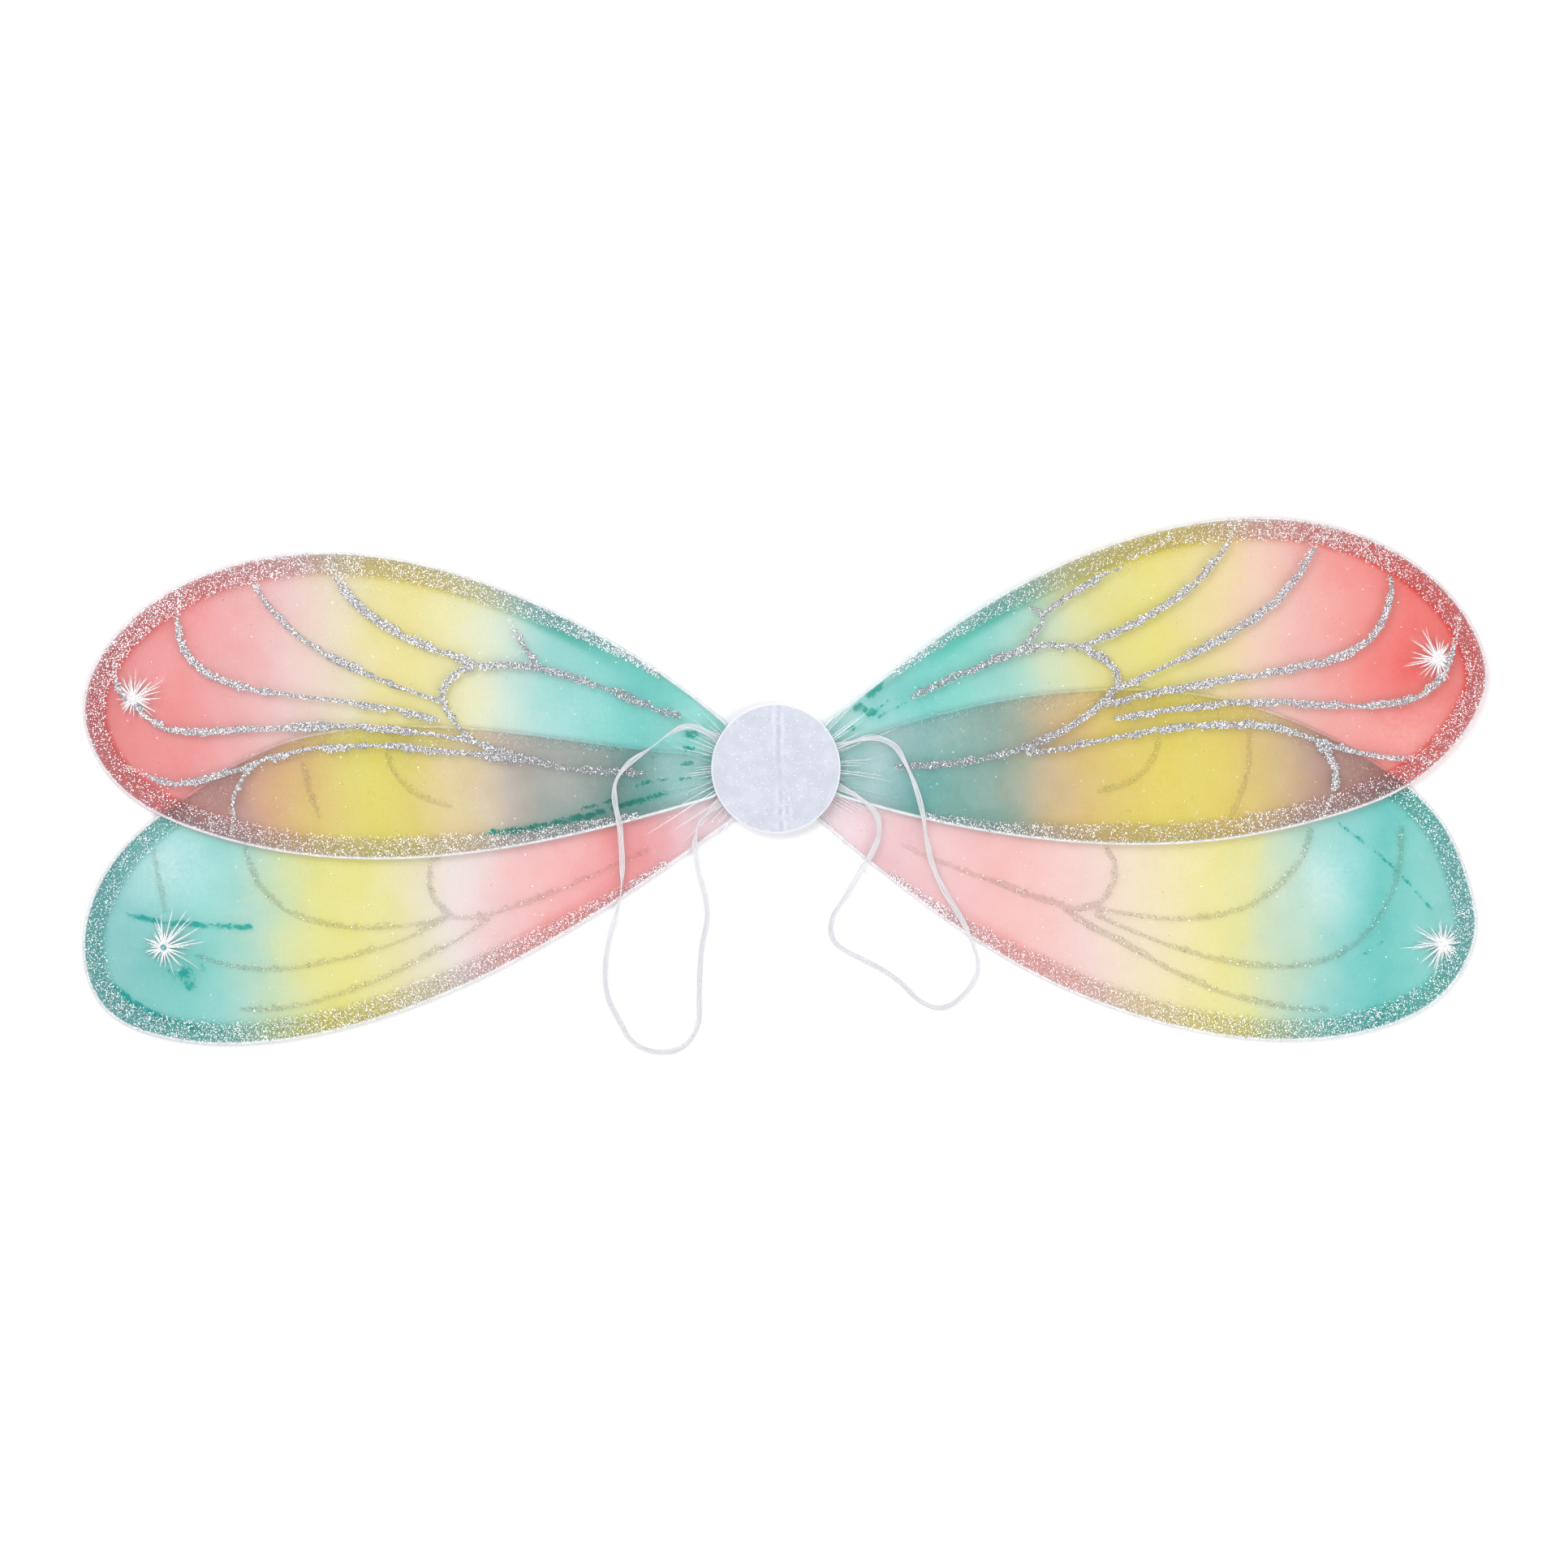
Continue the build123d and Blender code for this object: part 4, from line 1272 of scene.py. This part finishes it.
# where the band is thick with silver: place along the loop (0 to 1), half length, strength
BAND_PATCHES = {
    "upper_left": [(0.13, .03, .5), (0.36, .04, .6), (0.44, .03, .9), (0.49, .03, .7),
                   (0.24, .03, .4), (0.68, .04, .3), (0.78, .04, .6)],
    "upper_right": [(0.60, .03, .8), (0.66, .03, .6), (0.44, .04, .3), (0.30, .03, .4)],
    "lower_left": [(0.62, .06, .8), (0.70, .05, .7), (0.54, .04, .4), (0.80, .04, .4)],
    "lower_right": [(0.30, .05, .5), (0.40, .05, .4), (0.52, .03, .3)],
}
# the veins run on into the band: both ends of each run, x outwards
VEIN_ENDS = {
    "upper_left": [((400, 69), (398, 50)), ((360, 110), (361.5, 92)), ((324, 125), (311, 107)),
                   ((276, 135), (258, 108)), ((161, 90), (157, 80)), ((392, 1), (371, -8)),
                   ((328, -41), (328, -25))],
    "upper_right": [((413, 92), (409, 72)), ((368, 132), (371, 111)), ((333, 147), (316, 122)),
                    ((281, 152), (269, 131)), ((240, 140), (213, 126)), ((402, 3), (380, 7)),
                    ((327, -37), (336, -16))],
}


def flakes(name, points, normal_z, seed, dull=1.0):
    """Glitter: flat little pyramids, each turned and tilted its own way; dull above 1 is
    a mix with more dark ones."""
    r = np.random.default_rng(seed)
    n = len(points)
    size = r.uniform(*FLAKE_R, n)
    turn = r.uniform(0, 2 * pi, n)
    tilt = np.abs(r.normal(0, 0.30, n))
    lean = r.uniform(0, 2 * pi, n)
    normal = np.c_[np.sin(tilt) * np.cos(lean), np.sin(tilt) * np.sin(lean),
                   np.cos(tilt) * normal_z]
    u = np.cross(normal, np.c_[np.cos(turn), np.sin(turn), np.zeros(n)])
    u /= np.linalg.norm(u, axis=1)[:, None]
    v = np.cross(normal, u)
    corners = []
    for k in range(3):
        a = 2 * pi * k / 3
        stretch = (size * r.uniform(0.75, 1.2, n))[:, None]
        corners.append(points + stretch * (cos(a) * u + sin(a) * v))
    corners.append(points - normal * 0.12)
    verts = np.stack(corners, 1).reshape(-1, 3)
    base = np.arange(n)[:, None] * 4
    faces = np.concatenate([base + np.array(f) for f in ((0, 1, 2), (0, 3, 1), (1, 3, 2),
                                                         (2, 3, 0))])
    glint = np.repeat(r.random(n) ** dull, 4)
    return build_triangles(name, verts, faces, {"glint": glint})


def glitter_material():
    g = Graph("glitter_flakes")
    glint = g.attribute("glint")
    colour = g.ramp(glint, [(0.0, linear("#737278")), (0.18, linear("#a9a9ae")),
                            (0.38, linear("#e0e1e5")), (0.5, (1, 1, 1, 1)), (1.0, (1, 1, 1, 1))])
    shader = g.node("BsdfPrincipled", {"Base Color": colour,
                                       "Metallic": g.remap(glint, 0.3, 0.6, 0.9, 0.25),
                                       "Roughness": g.remap(glint, 0, 1, 0.42, 0.22),
                                       "Specular IOR Level": 0.8})
    return g.done(shader.outputs[0])


def film_material(name, colour, tint, thin, thick):
    """Dried glitter glue: it darkens what is under it, and is greyer where it is full."""
    g = Graph(name)
    where = g.place()
    grain = g.noise(where, 0.6, 3.0, 0.8)
    patch = g.noise(where, 5.0, 3.0, 0.6)
    amount = g.math("MULTIPLY_ADD", g.math("SUBTRACT", patch, 0.5), 0.7, g.attribute("body"))
    cover = g.remap(amount, 0.05, 0.9, thin, thick)
    cover = g.math("MULTIPLY", cover, g.remap(grain, 0.35, 0.65, 0.6, 1.4), clamp=True)
    shade = g.mix(g.remap(grain, 0.40, 0.62), linear(colour), linear("#e3e4e8"))
    full = g.math("MULTIPLY", g.remap(amount, 0.0, 0.7), g.remap(grain, 0.35, 0.65, 1.25, 0.7))
    clear = g.node("BsdfTransparent", {"Color": g.mix(full, (1, 1, 1, 1), (*tint, 1))})
    glue = g.node("BsdfPrincipled", {"Base Color": shade, "Roughness": 0.3, "Metallic": 0.2,
                                     "Normal": g.bump(grain, 0.7, 0.25)})
    shader = g.node("MixShader", {0: cover, 1: clear.outputs[0], 2: glue.outputs[0]})
    return g.done(shader.outputs[0])


def on_skin(wing, where, side, lift, rim=None):
    """Points in space a little off the skin; side is +1 or -1 for each point."""
    half, sag, _, _ = wing.skin(where, rim)
    return np.c_[where, wing.z + sag + side * (half + lift)]


def trimmed(flat, faces, amount, seed):
    """The corners of a flat drawing, drawn in from its outline by an uneven amount."""
    keys = [tuple(k) for k in np.round(flat * 500).astype(int)]
    edges = {}
    for f in faces:
        (x0, y0), (x1, y1), (x2, y2) = flat[list(f[:3])]
        ring = f if (x1 - x0) * (y2 - y0) > (x2 - x0) * (y1 - y0) else f[::-1]
        for a, b in zip(ring, ring[1:] + ring[:1]):
            if edges.pop((keys[b], keys[a]), None) is None:
                edges[keys[a], keys[b]] = flat[b] - flat[a]
    inward = {}
    for (a, b), (dx, dy) in edges.items():
        normal = np.array((-dy, dx)) / max(1e-9, np.hypot(dx, dy))
        for key in (a, b):
            inward.setdefault(key, []).append(normal)
    moved = flat.copy()
    ragged = 1 + 0.22 * wobble(flat, 3.1, seed)
    for i, key in enumerate(keys):
        if key in inward:
            mean = np.mean(inward[key], axis=0)
            moved[i] += mean / max(0.5, mean @ mean) * amount * ragged[i]
    return moved


def vein_strength(wing, points):
    """The veins thin out towards the root: the share of glitter at each point."""
    least, near, far = VEIN_FADE
    return least + (1 - least) * smoothstep(np.hypot(*(points - wing.root).T), near, far)


def make_veins(wing, film, sparkle):
    """Veins in glitter glue on the printed skin: a film, its flakes, and a few strays."""
    source = NODES[f"{wing.name}_veins"].data
    co = np.array([v.co for v in source.vertices]) / MM
    lowest = co[:, 2].min() if wing.printed > 0 else co[:, 2].max()
    high = np.abs(co[:, 2] - lowest) > 0.1
    faces = [tuple(f.vertices) for f in source.polygons]
    tops = [f for f in faces if all(high[i] for i in f)]
    flat = trimmed(co[:, :2], tops, VEIN_TRIM[wing.side], wing.seed + 4)
    at = on_skin(wing, flat, wing.printed, np.where(high, VEIN_FILM_T, -0.04))
    body = build(f"{wing.name}_vein_film", at, faces, smooth=False,
                 attributes={"body": vein_strength(wing, flat)})
    place_piece(body, film, wing.body, f"{wing.name}_veins")
    r = np.random.default_rng(wing.seed + 90)
    corners = flat[np.array(tops)]
    sizes = 0.5 * np.abs(np.cross(corners[:, 1] - corners[:, 0], corners[:, 2] - corners[:, 0]))
    count = int(sizes.sum() * VEIN_FLAKES * (1.0 if wing.printed > 0 else 0.25))
    pick = r.choice(len(tops), count, p=sizes / sizes.sum())
    a, b = np.sqrt(r.random(count)), r.random(count)
    c = corners[pick]
    where = (c[:, 0] * (1 - a)[:, None] + c[:, 1] * (a * (1 - b))[:, None]
             + c[:, 2] * (a * b)[:, None])
    where += r.normal(0, 0.2, where.shape)
    where = where[r.random(count) < vein_strength(wing, where)]
    count = len(where)
    side = np.where(r.random(count) < FRONT_SHARE, 1, wing.printed)
    lift = r.uniform(0.03, 0.16, count) + np.where(side == wing.printed, VEIN_FILM_T, 0)
    for ends in VEIN_ENDS.get(wing.name, ()):
        (x0, y0), (x1, y1) = ends
        run = int(np.hypot(x1 - x0, y1 - y0) * 1.8 * VEIN_FLAKES)
        t = r.random(run)[:, None]
        line = np.array((wing.side * x0, y0)) * (1 - t) + np.array((wing.side * x1, y1)) * t
        line = line + r.normal(0, 0.9, line.shape)
        line = line[inside_line(line, wing.line)]
        where = np.concatenate([where, line])
        side = np.r_[side, np.ones(len(line))]
        lift = np.r_[lift, r.uniform(0.14, 0.3, len(line))]
    low, high = wing.line.min(0), wing.line.max(0)
    stray = r.uniform(low, high, (STRAYS, 2))
    stray = stray[inside_line(stray, wing.line)]
    where = np.concatenate([where, stray])
    side = np.r_[side, np.ones(len(stray))]
    lift = np.r_[lift, r.uniform(0.03, 0.08, len(stray))]
    piece = flakes(f"{wing.name}_vein_flakes", on_skin(wing, where, side, lift), side,
                   wing.seed + 91, dull=1.5)
    place_piece(piece, sparkle, wing.body)


def band_width(t):
    share = np.clip((t - BAND_MARGIN) / (1 - 2 * BAND_MARGIN), 0, 1)
    return BAND_W * np.minimum(1, BAND_END_SHARE + BAND_GROWTH * np.minimum(share, 1 - share))


def make_band(wing, film, sparkle, over=None):
    """The glitter band inside the wire, dense at the rim and thinning inwards."""
    m = len(wing.line)
    t = np.arange(m) / (m - 1)
    on = (t > BAND_MARGIN) & (t < 1 - BAND_MARGIN)
    line, out, t = wing.line[on], wing.out[on], t[on]
    width = band_width(t) * (1 + 0.10 * wobble(line, 9, wing.seed + 5))
    shares = np.array([0.0, 0.05, 0.11, 0.2, 0.32, 0.5, 0.68, 0.8, 0.91, 1.0])
    rows, body = [], []
    for share in shares:
        d = 0.3 + (width - 0.3) * share
        flat = line - out * d[:, None]
        rows.append(flat)
        body.append((1 - smoothstep(share, 0.72, 1.0)) * np.ones(len(flat)))
    flat = np.concatenate(rows)
    body = np.concatenate(body)
    if over:
        body = body * (1 - 0.8 * inside_line(flat, over.line))
    outer = on_skin(wing, flat, wing.printed, 0.02 + BAND_FILM_T)
    inner = on_skin(wing, flat, wing.printed, 0.02)
    n, k = len(shares), len(line)
    up = (wing.printed > 0)
    faces = grid_faces(n, k, flip=up) + grid_faces(n, k, start=n * k, flip=not up)
    ring = (list(range(k)) + [r * k + k - 1 for r in range(1, n)]
            + [(n - 1) * k + i for i in range(k - 2, -1, -1)]
            + [r * k for r in range(n - 2, 0, -1)])
    for a, b in zip(ring, ring[1:] + ring[:1]):
        wall = (a, b, b + n * k, a + n * k)
        faces.append(wall if up else wall[::-1])
    piece = build(f"{wing.name}_edge_film", np.concatenate([outer, inner]),
                  faces, attributes={"body": np.tile(body, 2)})
    place_piece(piece, film, wing.body, f"{wing.name}_edge_glitter")

    r = np.random.default_rng(wing.seed + 70)
    length = np.linalg.norm(np.diff(line, axis=0), axis=1).sum()
    tries = int(length * BAND_W * 1.25 * BAND_FLAKES * 1.6)
    s = r.uniform(0, k - 1.001, tries)
    i = s.astype(int)
    f = (s - i)[:, None]
    at, normal = line[i] * (1 - f) + line[i + 1] * f, out[i] * (1 - f) + out[i + 1] * f
    wide = width[i]
    d = r.uniform(-0.2, 1.15, tries) * wide
    patch = np.zeros(tries)
    place = t[i]
    for centre, reach, strength in BAND_PATCHES[wing.name]:
        patch += strength * np.exp(-((place - centre) / reach) ** 2)
    where = at - normal * np.maximum(d, -0.5)[:, None]
    cloud = wobble(where, 6.5, wing.seed + 2)
    chance = BAND_SHARE[wing.printed] + 0.55 * patch + 0.3 * cloud
    chance = chance * (1 - smoothstep(d / wide, 0.8, 1.1))
    if over:
        chance = chance * (1 - 0.75 * inside_line(where, over.line))
    keep = (r.random(tries) < chance) & (d > -0.35)
    where, d = where[keep], d[keep]
    side = np.where(r.random(len(d)) < BAND_FRONT, 1, wing.printed)
    lift = r.uniform(0.02, 0.12, len(d)) + np.where(side == wing.printed, BAND_FILM_T, 0)
    at = on_skin(wing, where, side, lift, np.maximum(d, 0))
    piece = flakes(f"{wing.name}_edge_flakes", at, side, wing.seed + 71)
    place_piece(piece, sparkle, wing.body)


gathered = gather_material()
dyed_thread = thread_material("dyed_thread", "#1f7f8c", "#8cc9cc")   # dye pooled on this knot
sparkle = glitter_material()
films = {"upper": film_material("vein_glue", "#77757b", (0.62, 0.60, 0.62), 0.14, 0.44),
         "lower": film_material("vein_glue_behind", "#8a8982", (0.955, 0.95, 0.93), 0.0, 0.06),
         "edge": {1: film_material("edge_glue", "#a39ba0", (0.93, 0.92, 0.93), 0.0, 0.05),
                  -1: film_material("edge_glue_behind", "#b4acb0", (0.97, 0.965, 0.97), 0.0,
                                    0.04)}}
for wing in wings.values():
    make_gathers(wing, gathered)
    make_knot(wing, dyed_thread if wing.name == "lower_left" else thread)
    make_tie(wing, thread)
    make_veins(wing, films[wing.level], sparkle)
    make_band(wing, films["edge"][wing.printed], sparkle,
              partner(wing) if wing.level == "lower" else None)
